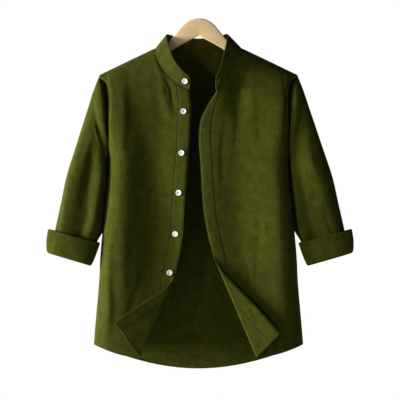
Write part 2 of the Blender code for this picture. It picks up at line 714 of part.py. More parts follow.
def main():
    clear_scene()
    parts = collection("band_collar_shirt")
    cutters = collection("cutters")
    cloth = material("olive_cloth", OLIVE, 0.9)
    band = material("olive_band", OLIVE_INSIDE, 0.9)
    white = material("button_white", BUTTON_WHITE, 0.35)
    wood = material("pale_wood", WOOD, 0.5)
    back(cloth, parts)
    yoke(cloth, parts)
    front("front_right", RIGHT_EDGE, RIGHT_NECK, RIGHT_CORNER, cloth, parts)
    front("front_left", LEFT_EDGE, LEFT_NECK, LEFT_CORNER, cloth, parts)
    placket("placket_right", RIGHT_EDGE, RIGHT_CORNER, band, parts)
    placket("placket_left", LEFT_EDGE, LEFT_CORNER, band, parts)
    sleeve("sleeve_right", -1, 0.0, RIGHT_SLEEVE_FOLDS, cloth, parts)
    sleeve("sleeve_left", 1, LEFT_SLEEVE_REACH, LEFT_SLEEVE_FOLDS, cloth, parts)
    turn_up("turn_up_right", -1, 0.0, cloth, parts)
    turn_up("turn_up_left", 1, LEFT_SLEEVE_REACH, cloth, parts)
    collar(band, parts)
    buttons(white, parts, cutters)
    hanger(wood, parts, cutters)


main()
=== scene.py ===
# %% [markdown]
# # A band collar shirt on a wooden hanger
#
# A dark olive shirt hangs open on a pale wooden hanger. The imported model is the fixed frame: solid
# walls with the right shape and place. This script dresses it. Thin cloth takes the place of the
# walls, with folds, hems, stitches and buttonholes, and the buttons and the hanger get their detail.

# %% The frame
import math

import bpy
import numpy as np
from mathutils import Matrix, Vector


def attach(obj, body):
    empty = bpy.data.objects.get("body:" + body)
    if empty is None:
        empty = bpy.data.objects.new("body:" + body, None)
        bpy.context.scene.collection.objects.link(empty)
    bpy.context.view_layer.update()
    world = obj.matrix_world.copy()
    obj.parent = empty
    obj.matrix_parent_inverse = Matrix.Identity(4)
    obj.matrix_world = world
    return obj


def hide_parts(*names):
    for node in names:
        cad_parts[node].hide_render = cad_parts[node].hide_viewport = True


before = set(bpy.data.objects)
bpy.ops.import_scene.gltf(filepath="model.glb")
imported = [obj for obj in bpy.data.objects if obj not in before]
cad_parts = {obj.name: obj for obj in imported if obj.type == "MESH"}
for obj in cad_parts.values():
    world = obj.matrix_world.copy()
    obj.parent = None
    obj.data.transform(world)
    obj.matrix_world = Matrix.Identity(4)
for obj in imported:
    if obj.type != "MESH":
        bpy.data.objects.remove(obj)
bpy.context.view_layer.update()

BODY = "root"
MM = 0.001


# %% [markdown]
# ## The shirt's form
#
# A hung shirt is two walls that fall from one ridge along the shoulders and meet again at the side
# seams. A wall's depth at any place can be sculpted by hand, simulated, or worked out. Here it is
# worked out from short tables, in millimetres: every panel, seam, stitch and button asks the same
# functions where the cloth is, so that they all meet. Numpy works on whole grids of points at once.

# %% Tables of the form, in millimetres
RIDGE_APEX_Z = -19.0       # where the two shoulders' slopes would meet
RIDGE_ROUND = 30.0         # how round the ridge is there
SHOULDER_SLOPE = 0.49
RIDGE_RADIUS = 10.0        # how round the cloth lies over the ridge
FRONT_DEPTH = 50.0
BACK_DEPTH = 40.0
SIDE_SQUARENESS = 10.0     # how late the panels turn in to the side seams
SEAM_HALF_DEPTH = -0.2     # they lap there, so that no light comes through
ARMHOLE_REACH = 0.28
TIP_X = 229.0

# The body's side from hem to shoulder: side seam, then armhole (x, z)
SIDE = np.array([
    (242, -756), (236, -680), (230, -608), (228, -564), (223.5, -508), (217, -432), (212, -374),
    (209, -325), (207, -281), (206.5, -232), (205.5, -193), (207, -167), (210.5, -148.5),
    (217.5, -139), (226, -134)], float)
UNDERARM, NOTCH, YOKE_ROW = 7, 10, 11

# Front edges by section (x, z, way to the placket's seam in x and z, sag)
RIGHT_EDGE = np.array([
    (-32, -774, -28, 0, 19), (-46, -691, -28, 0, 13), (-57, -617, -28, 0, 6), (-49, -575, -28, 0, 2),
    (-38, -515, -28, 0, 0), (-32, -438, -28, 0, 0), (-26, -355, -28, 0, 0), (-21, -296, -28, 0, 0),
    (-18.5, -237, -28, 0, 0), (-17.5, -200, -28, 5, 0), (-22, -169.5, -27.5, 15.5, 0)], float)
LEFT_EDGE = np.array([
    (52, -787, 28, 0, 11), (46, -700, 28, 0, 9), (43.5, -624, 28, 0, 5), (37.5, -566, 28, 0, 2),
    (23, -508, 28, 0, 0), (11, -438, 28, 0, 0), (5, -343, 28, 0, 0), (1, -283, 28, 0, 0),
    (4.5, -241, 27, 4, 0), (17, -210, 23, 12, 0), (41.5, -171.5, 17, 22, 0)], float)
RIGHT_NECK = np.array([(-61, -144.5), (-75, -130), (-90, -107), (-99.5, -85.4)])
LEFT_NECK = np.array([(67, -137), (77, -119), (88, -100), (99.5, -85.4)])

# Turned-out corners: two points of the fold's outer edge (x, z)
RIGHT_CORNER = ((-61.5, -609.5), (-136, -784))
LEFT_CORNER = ((43, -571), (136, -790))
FOLD_RADIUS = 4.0          # a tighter fold than the solids can have
FLAP_RISE = 0.17           # how steeply a turned-out corner stands off the panel
print("shoulders:", 2 * TIP_X, "mm wide, side seams:", SIDE[UNDERARM, 1] - SIDE[0, 1], "mm long")


# %% Smooth curves through a table, and the body's side
def smooth_rows(rows, places):
    """Rows at fractional places, on a smooth curve through a table's rows."""
    places = np.atleast_1d(np.asarray(places, float))
    last = len(rows) - 1
    start = np.clip(np.floor(places).astype(int), 0, last - 1)
    part = (places - start)[:, None]
    before, here, after, beyond = (rows[np.clip(start + step, 0, last)] for step in (-1, 0, 1, 2))
    slope1, slope2 = (after - before) / 2, (beyond - here) / 2
    return ((2 * part**3 - 3 * part**2 + 1) * here + (part**3 - 2 * part**2 + part) * slope1
            + (3 * part**2 - 2 * part**3) * after + (part**3 - part**2) * slope2)


def side_x(z):
    """How far out the side seam, and the armhole above it, lies at each height."""
    z = np.asarray(z, float)
    flat = np.clip(z.ravel(), SIDE[0, 1], SIDE[-1, 1])
    start = np.clip(np.searchsorted(SIDE[:, 1], flat, side="left") - 1, 0, len(SIDE) - 2)
    part = (flat - SIDE[start, 1]) / (SIDE[start + 1, 1] - SIDE[start, 1])
    return smooth_rows(SIDE, start + part)[:, 0].reshape(z.shape)


def ridge(x):
    return RIDGE_APEX_Z - SHOULDER_SLOPE * np.hypot(x, RIDGE_ROUND)


def swell(x, z, depth):
    """How far a panel stands out from the hanger's plane, before its folds."""
    below = np.maximum(ridge(x) - z, 0.0)
    drop = depth * np.tanh(np.sqrt(2 * RIDGE_RADIUS * below) / depth)
    reach = side_x(z) + ARMHOLE_REACH * np.maximum(z - SIDE[UNDERARM, 1], 0.0)
    return drop * np.sqrt(1 - np.minimum(np.abs(x) / reach, 1.0) ** SIDE_SQUARENESS)


CHEST = 100, -300
print("the front stands out", swell(*CHEST, FRONT_DEPTH), "mm at the chest, before its folds")


# %% [markdown]
# ## Folds
#
# Soft folds are what makes hung cloth look like cloth. A fold is a line on the panel with a width and
# a depth: a trough is positive and a ridge negative. Real folds aren't even: one flank is steeper
# than the other, they wander, and they fade out at their ends. The large ones are those of the
# solids, and the finer ones follow what light and shade show on the real shirt, region by region.

# %% Folds of the front and the back (x1, z1, x2, z2, half-width, depth)
FRONT_FOLDS = (
    (-180, -60, -196, -690, 38, -11), (-116, -110, -110, -700, 32, 9), (-80, -130, -84, -640, 42, 6),
    (102, -80, 78, -236, 24, 11), (207, -40, 216, -800, 46, -16), (84, -230, 96, -700, 40, 6),
    (-118, -90, -106, -300, 16, -3))
BACK_FOLDS = (
    (-120, -190, -146, -720, 28, 8), (-48, -200, -60, -760, 22, -6), (30, -260, 24, -780, 24, 6),
    (128, -200, 150, -700, 26, 8), (84, -300, 96, -740, 20, -5), (-182, -330, -200, -700, 16, -5))
FINE_FRONT_FOLDS = (
    (-99, -76, -79, -134, 3.5, 2.2), (-104, -80, -88, -150, 4, -1.4), (-79, -124, -50, -226, 5, 3.0),
    (-92, -120, -66, -240, 7, -2.4), (-156, -90, -160, -330, 14, 4.0), (-214, -98, -208, -400, 5, 12),
    (-150, -430, -160, -700, 14, 1.6), (-112, -300, -104, -520, 11, -1.4),
    (-120, -560, -170, -730, 12, 1.6), (214, -98, 208, -400, 5, 12), (199, -120, 202, -300, 5, 4.0),
    (118, -120, 126, -300, 12, -1.8), (92, -160, 84, -330, 9, 1.4), (140, -420, 134, -650, 12, 1.6),
    (60, -220, 50, -420, 6, 1.5), (100, -500, 128, -700, 10, 1.4), (-207, -110, -211, -430, 10, -6),
    (-208, -480, -216, -758, 16, -9), (208, -110, 211, -430, 10, -5), (-56, -380, -60, -700, 38, 12),
    (104, -100, 90, -270, 20, 5))
FINE_BACK_FOLDS = (
    (-90, -180, -84, -520, 12, 2.0), (70, -200, 64, -520, 12, -2.0), (-160, -300, -176, -640, 12, 2.0),
    (165, -320, 178, -650, 12, -2.0), (0, -480, -14, -790, 14, 2.4), (96, -520, 110, -770, 11, 2.0),
    (-104, -540, -118, -770, 11, -2.0))
FADE, FINE_FADE = 0.7, 0.9           # how suddenly folds fade at their ends: less is later
FOLD_WANDER = 2.2                    # how far a fine fold's line wanders to its sides
WANDER_TURNS, WANDER_SHIFT = 1.3, 0.37
FOLD_LEAN = 0.35                     # how much steeper one flank is than the other


def fold_depth(folds, x, z, fade, wander=0.0, lean=0.0):
    """How far folds push the cloth in at each place."""
    total = np.zeros_like(x)
    for number, (x1, z1, x2, z2, width, depth) in enumerate(folds):
        length = math.hypot(x2 - x1, z2 - z1)
        along = np.clip(((x - x1) * (x2 - x1) + (z - z1) * (z2 - z1)) / length**2, 0, 1)
        aside = ((x - x1) * (z2 - z1) - (z - z1) * (x2 - x1)) / length
        aside = aside + wander * np.sin(2 * math.pi * (along * WANDER_TURNS + number * WANDER_SHIFT))
        aside = aside * (1 + lean * (-1) ** number * np.tanh(aside / width))
        total += depth * np.sin(math.pi * along) ** fade * np.exp(-(aside / width) ** 2)
    return total


def hung_panel(x, z, way, depth, folds, fine_folds):
    """The middle of a panel's cloth at each place; way is -1 for the front and 1 for the back."""
    x, z = np.broadcast_arrays(np.asarray(x, float), np.asarray(z, float))
    out = swell(x, z, depth)
    dent = fold_depth(folds, x, z, FADE) + fold_depth(fine_folds, x, z, FINE_FADE, FOLD_WANDER, FOLD_LEAN)
    return way * (SEAM_HALF_DEPTH + out - dent * np.minimum(out / depth, 1.0))


def front_y(x, z):
    return hung_panel(x, z, -1, FRONT_DEPTH, FRONT_FOLDS, FINE_FRONT_FOLDS)


def back_y(x, z):
    return hung_panel(x, z, 1, BACK_DEPTH, BACK_FOLDS, FINE_BACK_FOLDS)


print("front at the chest:", front_y(*CHEST), "back:", back_y(*CHEST))


# %% [markdown]
# ## Cloth
#
# Each cut piece of the shirt is one sheet. A plane could be subdivided and pushed about by hand, but
# the pieces have to meet at seams, so here a grid is added with the plain operator, its points are
# laid out flat as the cut piece, creased on lines with bisect, and then every point is moved to where
# the hung form has it. The flat places are kept as the UV map, in metres, so that the weave follows
# the cloth. Solidify gives the sheet its thickness, and a weight on each point makes hems and pressed
# seams thicker or thinner.

# %% Tools for sheets
CLOTH_WALL = 0.9         # millimetres of one layer, drawn a little fuller than it is
DOUBLE_WALL = 1.9        # two or three layers sewn flat: placket and band
CREASE_SNAP = 0.0003     # metres within which a crease takes a point that is there already


def only(made):
    """Leaves one object selected and active."""
    bpy.ops.object.select_all(action="DESELECT")
    made.select_set(True)
    bpy.context.view_layer.objects.active = made


def apply_all(made):
    """Applies every modifier of a piece, in order."""
    only(made)
    for modifier in list(made.modifiers):
        bpy.ops.object.modifier_apply(modifier=modifier.name)


def unit(vectors):
    return vectors / np.linalg.norm(vectors, axis=-1, keepdims=True)


def points_of(mesh):
    """Where a mesh's points are, as an array."""
    at = np.zeros(len(mesh.vertices) * 3)
    mesh.vertices.foreach_get("co", at)
    return at.reshape(-1, 3)


def hung_at(panel_y, x, z):
    """Points of a panel where it hangs."""
    return np.stack([x, panel_y(x, z), z], axis=-1)


def sheet_piece(name, flat, places, wall, layers=None, bends=(), form=None):
    """A sheet of cloth. flat and places are arrays [row, column, axis] in millimetres: where each
    point is on the cut piece, and where it hangs. layers is each point's share of the wall. With
    bends, places are still flat, as (x, 0, z), and form hangs them once the bends are creased."""
    rows, columns = flat.shape[:2]
    bpy.ops.object.select_all(action="DESELECT")
    bpy.ops.mesh.primitive_grid_add(x_subdivisions=columns - 1, y_subdivisions=rows - 1, size=2)
    made = bpy.context.object
    made.name = made.data.name = name
    mesh = made.data
    at = points_of(mesh)
    column = np.rint((at[:, 0] + 1) / 2 * (columns - 1)).astype(int)
    row = np.rint((at[:, 1] + 1) / 2 * (rows - 1)).astype(int)
    mesh.vertices.foreach_set("co", (places[row, column] * MM).ravel())
    loops = np.zeros(len(mesh.loops), np.int32)
    mesh.loops.foreach_get("vertex_index", loops)
    weave = mesh.uv_layers[0] if mesh.uv_layers else mesh.uv_layers.new(name="weave")
    weave.name = "weave"
    weave.data.foreach_set("uv", (flat[row, column] * MM)[loops].ravel())
    if layers is not None:
        group = made.vertex_groups.new(name="layers")
        for index, share in enumerate(layers[row, column]):
            group.add([index], float(share), "REPLACE")
    if bends:
        bpy.ops.object.mode_set(mode="EDIT")
        for point, away in bends:
            bpy.ops.mesh.select_all(action="SELECT")
            bpy.ops.mesh.bisect(plane_co=point * MM, plane_no=away, threshold=CREASE_SNAP)
        bpy.ops.object.mode_set(mode="OBJECT")
        at = points_of(mesh) / MM
        mesh.vertices.foreach_set("co", (form(at[:, 0], at[:, 2]) * MM).ravel())
    mesh.update()
    thick = made.modifiers.new("wall", "SOLIDIFY")
    thick.thickness = wall * MM
    thick.offset = 0.0
    thick.use_quality_normals = True
    if layers is not None:
        thick.vertex_group = "layers"
    apply_all(made)
    bpy.ops.object.shade_smooth_by_angle(angle=math.radians(50))
    print(name, rows, "x", columns, "points,", len(made.data.polygons), "faces")
    return made


def run_of(points):
    """Length along a run of points, from its first."""
    return np.concatenate([[0], np.cumsum(np.linalg.norm(np.diff(points, axis=0), axis=1))])


def run_lengths(places, axis):
    """Length along each row (axis 1) or column (axis 0) of a grid, from its first point."""
    steps = np.linalg.norm(np.diff(places, axis=axis), axis=2)
    start = np.zeros_like(np.take(steps, [0], axis=axis))
    return np.concatenate([start, np.cumsum(steps, axis=axis)], axis=axis)


def flat_from(places):
    """The flat place of each point of a hung grid: its run along its row, and up its column."""
    across, up = run_lengths(places, 1), run_lengths(places, 0)
    return np.stack([across, 0.5 * up + 0.5 * up.mean(axis=1, keepdims=True)], axis=2)


# %% [markdown]
# ## Fronts and plackets
#
# Each front runs from the placket to the side seam and up to the yoke and the armhole. Its bottom
# corner is folded outwards: everything beyond the fold's line rolls over a small radius and lies on
# the panel, inside out. The placket is a doubled band along the front edge, folded over with it. It
# could be a raised strip of the front, but a sheet of its own has an edge that throws a shadow. Rows
# are places in the tables, so the hem's narrow turning gets rows of its own.

# %% Sections of a front
HEM_PLACE = 0.095        # the hem's turning, about 7 mm, as a place in the tables
TOP_PLACE = len(SIDE) - 1
PLACKET_LAP = 2.6        # how far the front runs on under the placket
RIGHT = RIGHT_EDGE, RIGHT_NECK, RIGHT_CORNER
LEFT = LEFT_EDGE, LEFT_NECK, LEFT_CORNER


def side_of(corner):
    """-1 for the wearer's right front and 1 for the left."""
    return math.copysign(1.0, corner[0][0])


def side_points(places):
    z = smooth_rows(SIDE, places)[:, 1]
    return side_x(z), z


def front_neckline(edge, neck):
    notch = edge[NOTCH]
    return np.array([notch[:2], notch[:2] + notch[2:4], *neck])


def seam_points(edge, neck, places):
    """Where each section of a front starts: on the placket's seam, or above it on the neckline."""
    low = smooth_rows(edge, np.minimum(places, NOTCH))
    high = smooth_rows(front_neckline(edge, neck)[1:], np.maximum(places - NOTCH, 0))
    on_edge = (places <= NOTCH)[:, None]
    point = np.where(on_edge, low[:, :2] + low[:, 2:4], high)
    return point[:, 0], point[:, 1], np.where(places <= NOTCH, low[:, 4], 0.0)


def front_flat(edge, neck, side, places, shares, lap=0.0):
    """A front's points before its corner is turned: arrays [row, column] of x and z."""
    in_x, in_z, sag = (value[:, None] for value in seam_points(edge, neck, places))
    in_x = in_x - side * lap * (places <= NOTCH)[:, None]
    out_x, out_z = (value[:, None] for value in side_points(places))
    x = in_x + (side * out_x - in_x) * shares
    z = in_z + (out_z - in_z) * shares - sag * np.sin(math.pi * shares)
    return x, z


print("placket:", math.dist(RIGHT_EDGE[0, :2], RIGHT_EDGE[NOTCH, :2]), "mm from hem to neck")


# %% [markdown]
# ### Pressed seams
#
# Where cloth is sewn it is pressed flat and drawn in a little, which shows as a fine dark line. Such
# a line could be painted in the material, but then it catches no light. Here each seam is a run of
# points on the flat panel, and the cloth sinks near it. The stitches later follow the same runs.

# %% Lines on the flat fronts
# Pressed lines of a front: how deep and how wide the cloth sinks there, or rolls back at an edge
PRESSED = {"seam": (0.7, 1.1), "stitches": (0.3, 0.9), "edge": (1.4, 1.8), "hem": (0.6, 1.1),
           "neck": (1.5, 1.4), "yoke": (0.8, 1.4), "armhole": (2.0, 3.0)}
STITCH_IN = 2.4                      # a row of stitches runs this far inside an edge
PLACKET_WIDTH = 28.0


def way_to_line(line, x, z):
    """Distance from each place to a run of points, in the flat."""
    nearest = np.full(np.shape(x), np.inf)
    for (x1, z1), (x2, z2) in zip(line[:-1], line[1:]):
        length = max((x2 - x1) ** 2 + (z2 - z1) ** 2, 1e-9)
        along = np.clip(((x - x1) * (x2 - x1) + (z - z1) * (z2 - z1)) / length, 0, 1)
        nearest = np.minimum(nearest, np.hypot(x - x1 - along * (x2 - x1), z - z1 - along * (z2 - z1)))
    return nearest


def placket_line(edge, share, start=0.0, end=NOTCH, count=60):
    """A line along the placket: share 0 is the front edge and 1 the seam."""
    here = smooth_rows(edge, np.linspace(start, end, count))
    return here[:, :2] + here[:, 2:4] * share


def hem_line(edge, neck, side, place):
    x, z = front_flat(edge, neck, side, np.array([place]), np.linspace(0, 1, 50))
    return np.concatenate([smooth_rows(edge, [place])[:, :2], np.stack([x[0], z[0]], axis=-1)])


def front_seams(edge, neck, side):
    """Every pressed line of a front: its points, depth and half-width."""
    x, z = side_points(np.linspace(UNDERARM, TOP_PLACE, 50))
    lines = [
        ("seam", placket_line(edge, 1.0)),
        ("stitches", placket_line(edge, STITCH_IN / PLACKET_WIDTH)),
        ("edge", placket_line(edge, 0.0)),
        ("edge", hem_line(edge, neck, side, 0.0)),
        ("hem", hem_line(edge, neck, side, HEM_PLACE)),
        ("neck", smooth_rows(front_neckline(edge, neck), np.linspace(0, len(neck) + 1, 40))),
        ("yoke", np.array([neck[-1], SIDE[-1] * (side, 1)])),
        ("armhole", np.stack([side * x, z], axis=-1))]
    return [(line, *PRESSED[kind]) for kind, line in lines]


def pressed(seams, x, z):
    sink = np.zeros(np.shape(x))
    for line, depth, soft in seams:
        sink = sink + depth * np.exp(-(way_to_line(line, x, z) / soft) ** 2)
    return sink


print("pressed lines of a front:", len(front_seams(RIGHT_EDGE, RIGHT_NECK, -1)))


# %% The turned-out corner
def fold_line(corner):
    """Where the roll of a corner starts, and the ways along the fold and out of it, as (x, z)."""
    top, low = np.array(corner, float)
    along = (low - top) / math.dist(low, top)
    away = side_of(corner) * np.array([along[1], -along[0]])
    return top - FOLD_RADIUS * away, along, away


def turned_out(corner, x, z):
    """Points of a front, with the corner beyond the fold rolled over and laid on the panel."""
    start, along, away = fold_line(corner)
    past = (x - start[0]) * away[0] + (z - start[1]) * away[1]
    run = (x - start[0]) * along[0] + (z - start[1]) * along[1]
    half_round = math.pi * FOLD_RADIUS
    turn = np.clip(past / FOLD_RADIUS, 0, math.pi)
    shift = np.where(past < half_round, FOLD_RADIUS * np.sin(turn), half_round - past)
    lift = FOLD_RADIUS * (1 - np.cos(turn)) + FLAP_RISE * np.maximum(past - half_round, 0)
    fold_x, fold_z = start[0] + run * along[0], start[1] + run * along[1]
    new_x, new_z = fold_x + shift * away[0], fold_z + shift * away[1]
    under = front_y(new_x, new_z)
    on_fold = front_y(fold_x, fold_z)
    under = np.where(shift < 0, np.minimum(under, (under + on_fold) / 2), under)
    rolled = np.stack([new_x, under - lift, new_z], axis=-1)
    return np.where((past > 0)[..., None], rolled, hung_at(front_y, x, z))


def roll_lines(corner, steps=8):
    """Lines parallel to the fold, to crease the sheet on."""
    start, _, away = (Vector((x, 0, z)) for x, z in fold_line(corner))
    return [(start + away * math.pi * FOLD_RADIUS * step / steps, away) for step in range(steps + 1)]


print("folds:", [math.dist(*corner) for corner in (RIGHT_CORNER, LEFT_CORNER)], "mm long")


# %% The two fronts
HEM_ROWS = (0, 0.014, 0.045, 0.072, 0.086, HEM_PLACE, 0.108, 0.15, 0.2)
FRONT_ROWS = np.concatenate([HEM_ROWS, np.linspace(0.25, 3, 56), np.linspace(3.06, 7, 56),
                             np.linspace(7.06, TOP_PLACE, 84)])
FRONT_SHARES = np.concatenate([[0, 0.004, 0.008, 0.012, 0.016, 0.021, 0.027],
                               1 - (1 - np.linspace(0.03, 1, 96)) ** 1.4])
STITCH_PLACE = 0.079                     # the middle of the groove along a hem
HEM_GROOVE, HEM_GROOVE_SOFT = 0.6, 0.008


def hem_layers(rows, count, hem=2.0):
    """Two layers below the hem's line, one above, and less along the hem's row of stitches."""
    share = np.where(rows <= HEM_PLACE + 1e-6, hem, 1.0)
    share = share - HEM_GROOVE * np.exp(-((rows - STITCH_PLACE) / HEM_GROOVE_SOFT) ** 2)
    return np.repeat(share[:, None], count, axis=1)


def front_form(edge, neck, corner):
    """A function that hangs flat points of a front or its placket, seams pressed in."""
    seams = front_seams(edge, neck, side_of(corner))

    def hang(x, z):
        place = turned_out(corner, x, z)
        place[..., 1] += pressed(seams, x, z)
        return place

    return hang


def front_sheet(name, front, x, z, wall, layers):
    """A sheet of a front from its flat points, with the corner turned out."""
    return sheet_piece(name, flat_from(hung_at(front_y, x, z)), np.stack([x, 0 * x, z], axis=2), wall,
                       layers, roll_lines(front[-1]), front_form(*front))


def front_piece(name, front):
    edge, neck, corner = front
    x, z = front_flat(edge, neck, side_of(corner), FRONT_ROWS, FRONT_SHARES, PLACKET_LAP)
    return front_sheet(name, front, x, z, 2 * CLOTH_WALL, hem_layers(FRONT_ROWS, len(FRONT_SHARES)) / 2)


front_right = front_piece("front_right_cloth", RIGHT)
front_left = front_piece("front_left_cloth", LEFT)


# %% The two plackets
PLACKET_SHARES = np.array([0, 0.03, 0.06, 0.09, 0.12, 0.16, 0.24, 0.34, 0.45, 0.56, 0.67, 0.77, 0.84, 0.88,
                           0.91, 0.94, 0.97, 1.0])
PLACKET_ROWS = np.concatenate([HEM_ROWS, np.linspace(0.25, NOTCH, 236)])
PLACKET_HEM = 1.3                        # its hem's layers over its own
STITCH_SHARES = (0.09, 0.91)
ROW_GROOVE, ROW_GROOVE_SOFT = 0.3, 0.02  # how much thinner a band is along its rows of stitches


def row_grooves(shares, rows):
    return sum(ROW_GROOVE * np.exp(-((shares - row) / ROW_GROOVE_SOFT) ** 2) for row in rows)


def placket_piece(name, front):
    here = smooth_rows(front[0], PLACKET_ROWS)
    x = here[:, 0:1] + here[:, 2:3] * PLACKET_SHARES
    z = here[:, 1:2] + here[:, 3:4] * PLACKET_SHARES
    layers = hem_layers(PLACKET_ROWS, len(PLACKET_SHARES), PLACKET_HEM) / PLACKET_HEM
    layers = np.clip(layers - row_grooves(PLACKET_SHARES, STITCH_SHARES), 0.1, 1)
    return front_sheet(name, front, x, z, DOUBLE_WALL, layers)


placket_right = placket_piece("placket_right_cloth", RIGHT)
placket_left = placket_piece("placket_left_cloth", LEFT)


# %% [markdown]
# ## Back and yoke
#
# The back hangs from the yoke's seam to a curved shirt tail. Through the open front its inside shows,
# with the hem's turning and its line of stitches. The yoke lies over the shoulders: it rises from the
# back seam to the ridge over the hanger and comes a little way down the front. Back and yoke could be
# one sheet, but on a real shirt they are two, and the seam between them shows. The yoke is built from
# strips that run up from its seam, so that each ends on the ridge, the neckline or the front seam.

# %% The back
BACK_HEM_DROP = 59.0
BACK_HEM_SHAPE = 0.85
BACK_HEM = 0.8           # its hem's turning against the fronts', as a place in the tables
YOKE_BACK_Z = -167.0
SEAM_LAP = 1.2           # how far two sheets run over each other at a seam


def back_flat(places, across):
    out_x, out_z = (value[:, None] for value in side_points(places))
    x = out_x * np.sign(across) * (1 - (1 - np.abs(across)) ** 1.5)
    tail = BACK_HEM_DROP * np.maximum(np.cos(math.pi / 2 * x / out_x), 0.0) ** BACK_HEM_SHAPE
    return x, out_z - tail * (1 - places[:, None] / YOKE_ROW) ** 2


BACK_ROWS = np.concatenate([np.array(HEM_ROWS) * BACK_HEM, np.linspace(0.22, YOKE_ROW, 200)])
BACK_ACROSS = np.linspace(-1, 1, 161)
x, z = back_flat(BACK_ROWS, BACK_ACROSS)
z[-1] += SEAM_LAP
hung = hung_at(back_y, x, z)
back = sheet_piece("back_cloth", flat_from(hung), hung, 2 * CLOTH_WALL,
                   hem_layers(BACK_ROWS / BACK_HEM, len(BACK_ACROSS)) / 2)

# %% The yoke
YOKE_RIDGE_START_X = 104.0
YOKE_BACK_START_X = 101.0
NECK_SIDE_X = 98.0
NECK_BACK_DROP = 76.0


def neck_back_points(x):
    """The back neckline, which rises to the ridge at its two ends."""
    share = np.abs(x) / NECK_SIDE_X
    z = -NECK_BACK_DROP + (NECK_BACK_DROP + ridge(NECK_SIDE_X)) * share**3
    return np.stack([x, np.where(share < 0.9999, back_y(x, z), 0.0), z], axis=-1)


def shoulder_strip(place, rise, fall, side):
    """A strip of the yoke upwards from its back seam; place runs from 0 at the neck to 1 outside."""
    ridge_x = YOKE_RIDGE_START_X + (TIP_X - YOKE_RIDGE_START_X) * place
    back_x = YOKE_BACK_START_X + (SIDE[YOKE_ROW, 0] - YOKE_BACK_START_X) * place
    share = 1 - (1 - rise) ** 2
    x = back_x + (ridge_x - back_x) * share
    z = YOKE_BACK_Z + (ridge(ridge_x) - YOKE_BACK_Z) * share
    armhole = smooth_rows(SIDE, YOKE_ROW + (TOP_PLACE - YOKE_ROW) * rise)
    outer = (SIDE[YOKE_ROW, 0] + (TIP_X - SIDE[YOKE_ROW, 0]) * share,
             YOKE_BACK_Z + (ridge(TIP_X) - YOKE_BACK_Z) * share)
    pull = place**4 * (1 - rise**6)
    x, z = x + pull * (armhole[:, 0] - outer[0]), z + pull * (armhole[:, 1] - outer[1])
    up = np.stack([side * x, np.where(rise < 1, back_y(side * x, z), 0.0), z], axis=-1)
    neck_end, tip_end = RIGHT_NECK[-1], SIDE[-1]
    seam_x = -neck_end[0] + (tip_end[0] + neck_end[0]) * place
    seam_z = neck_end[1] + (tip_end[1] - neck_end[1]) * place - SEAM_LAP
    share = fall**2
    x = ridge_x + (seam_x - ridge_x) * share
    z = ridge(ridge_x) + (seam_z - ridge(ridge_x)) * share
    return np.concatenate([up, hung_at(front_y, side * x, z)])


def neck_strip(x, rise, fall):
    """A strip from the back seam to the back neckline, where its upper rows meet."""
    top = neck_back_points(np.array([x]))[0]
    z = YOKE_BACK_Z + (top[2] - YOKE_BACK_Z) * (1 - (1 - rise) ** 1.5)
    up = np.stack([0 * z + x, back_y(x, z), z], axis=-1)
    up[-1] = top
    return np.concatenate([up, np.repeat(top[None], len(fall), axis=0)])


rise = np.linspace(0, 1, 41)
fall = np.linspace(0, 1, 15)[1:]
strips = [shoulder_strip(place, rise, fall, -1) for place in np.linspace(1, 0, 45)]
strips += [neck_strip(x, rise, fall) for x in np.linspace(-NECK_SIDE_X, NECK_SIDE_X, 71)]
strips += [shoulder_strip(place, rise, fall, 1) for place in np.linspace(0, 1, 45)]
hung = np.array(strips).transpose(1, 0, 2)
yoke = sheet_piece("yoke_cloth", flat_from(hung), hung, 1.1 * CLOTH_WALL)


# %% [markdown]
# ## Sleeves and turn-ups
#
# A sleeve is a tube from the armhole to the rolled end. Its sections are ovals that lean with the
# arm, the first one being the armhole itself, and its folds are given by section and by angle round
# the tube: 0 outside, 90 in front, -90 behind. A stretched cylinder would serve for the tube, but it
# wouldn't meet the armhole, and a sheet whose two long edges meet in the under-arm seam is what a
# real sleeve is. The rolled end is a sheet of its own, as the roll hides where it joins the sleeve.

# %% Sections of a sleeve (outer x, z, inner clearance, inner z, half the depth, set back)
SLEEVE = np.array([
    (243, -168, 0.8, -341, 27, 12), (255, -206, -1, -356, 31, 24), (269, -250, -2, -376, 35, 28),
    (283, -294, -2.5, -398, 37, 30), (296, -334, -2.5, -424, 37, 30), (307.5, -373, -2.5, -450, 36, 30),
    (319, -429, -1, -490, 33, 24), (331, -486, 9.5, -515, 29.5, 3), (338, -530, 27, -556, 27.5, 0)],
    float)
LEFT_SLEEVE_REACH = 7.0
TURN_UP = np.array([
    (338.2, -530.9, 254.2, -557, 27.5), (341, -539, 254, -566, 28.5), (346.5, -544.5, 251.5, -573, 31),
    (351.5, -538, 246.5, -568.5, 34), (352, -515, 237.5, -547, 35.5), (348.5, -492, 229.8, -524, 35)])
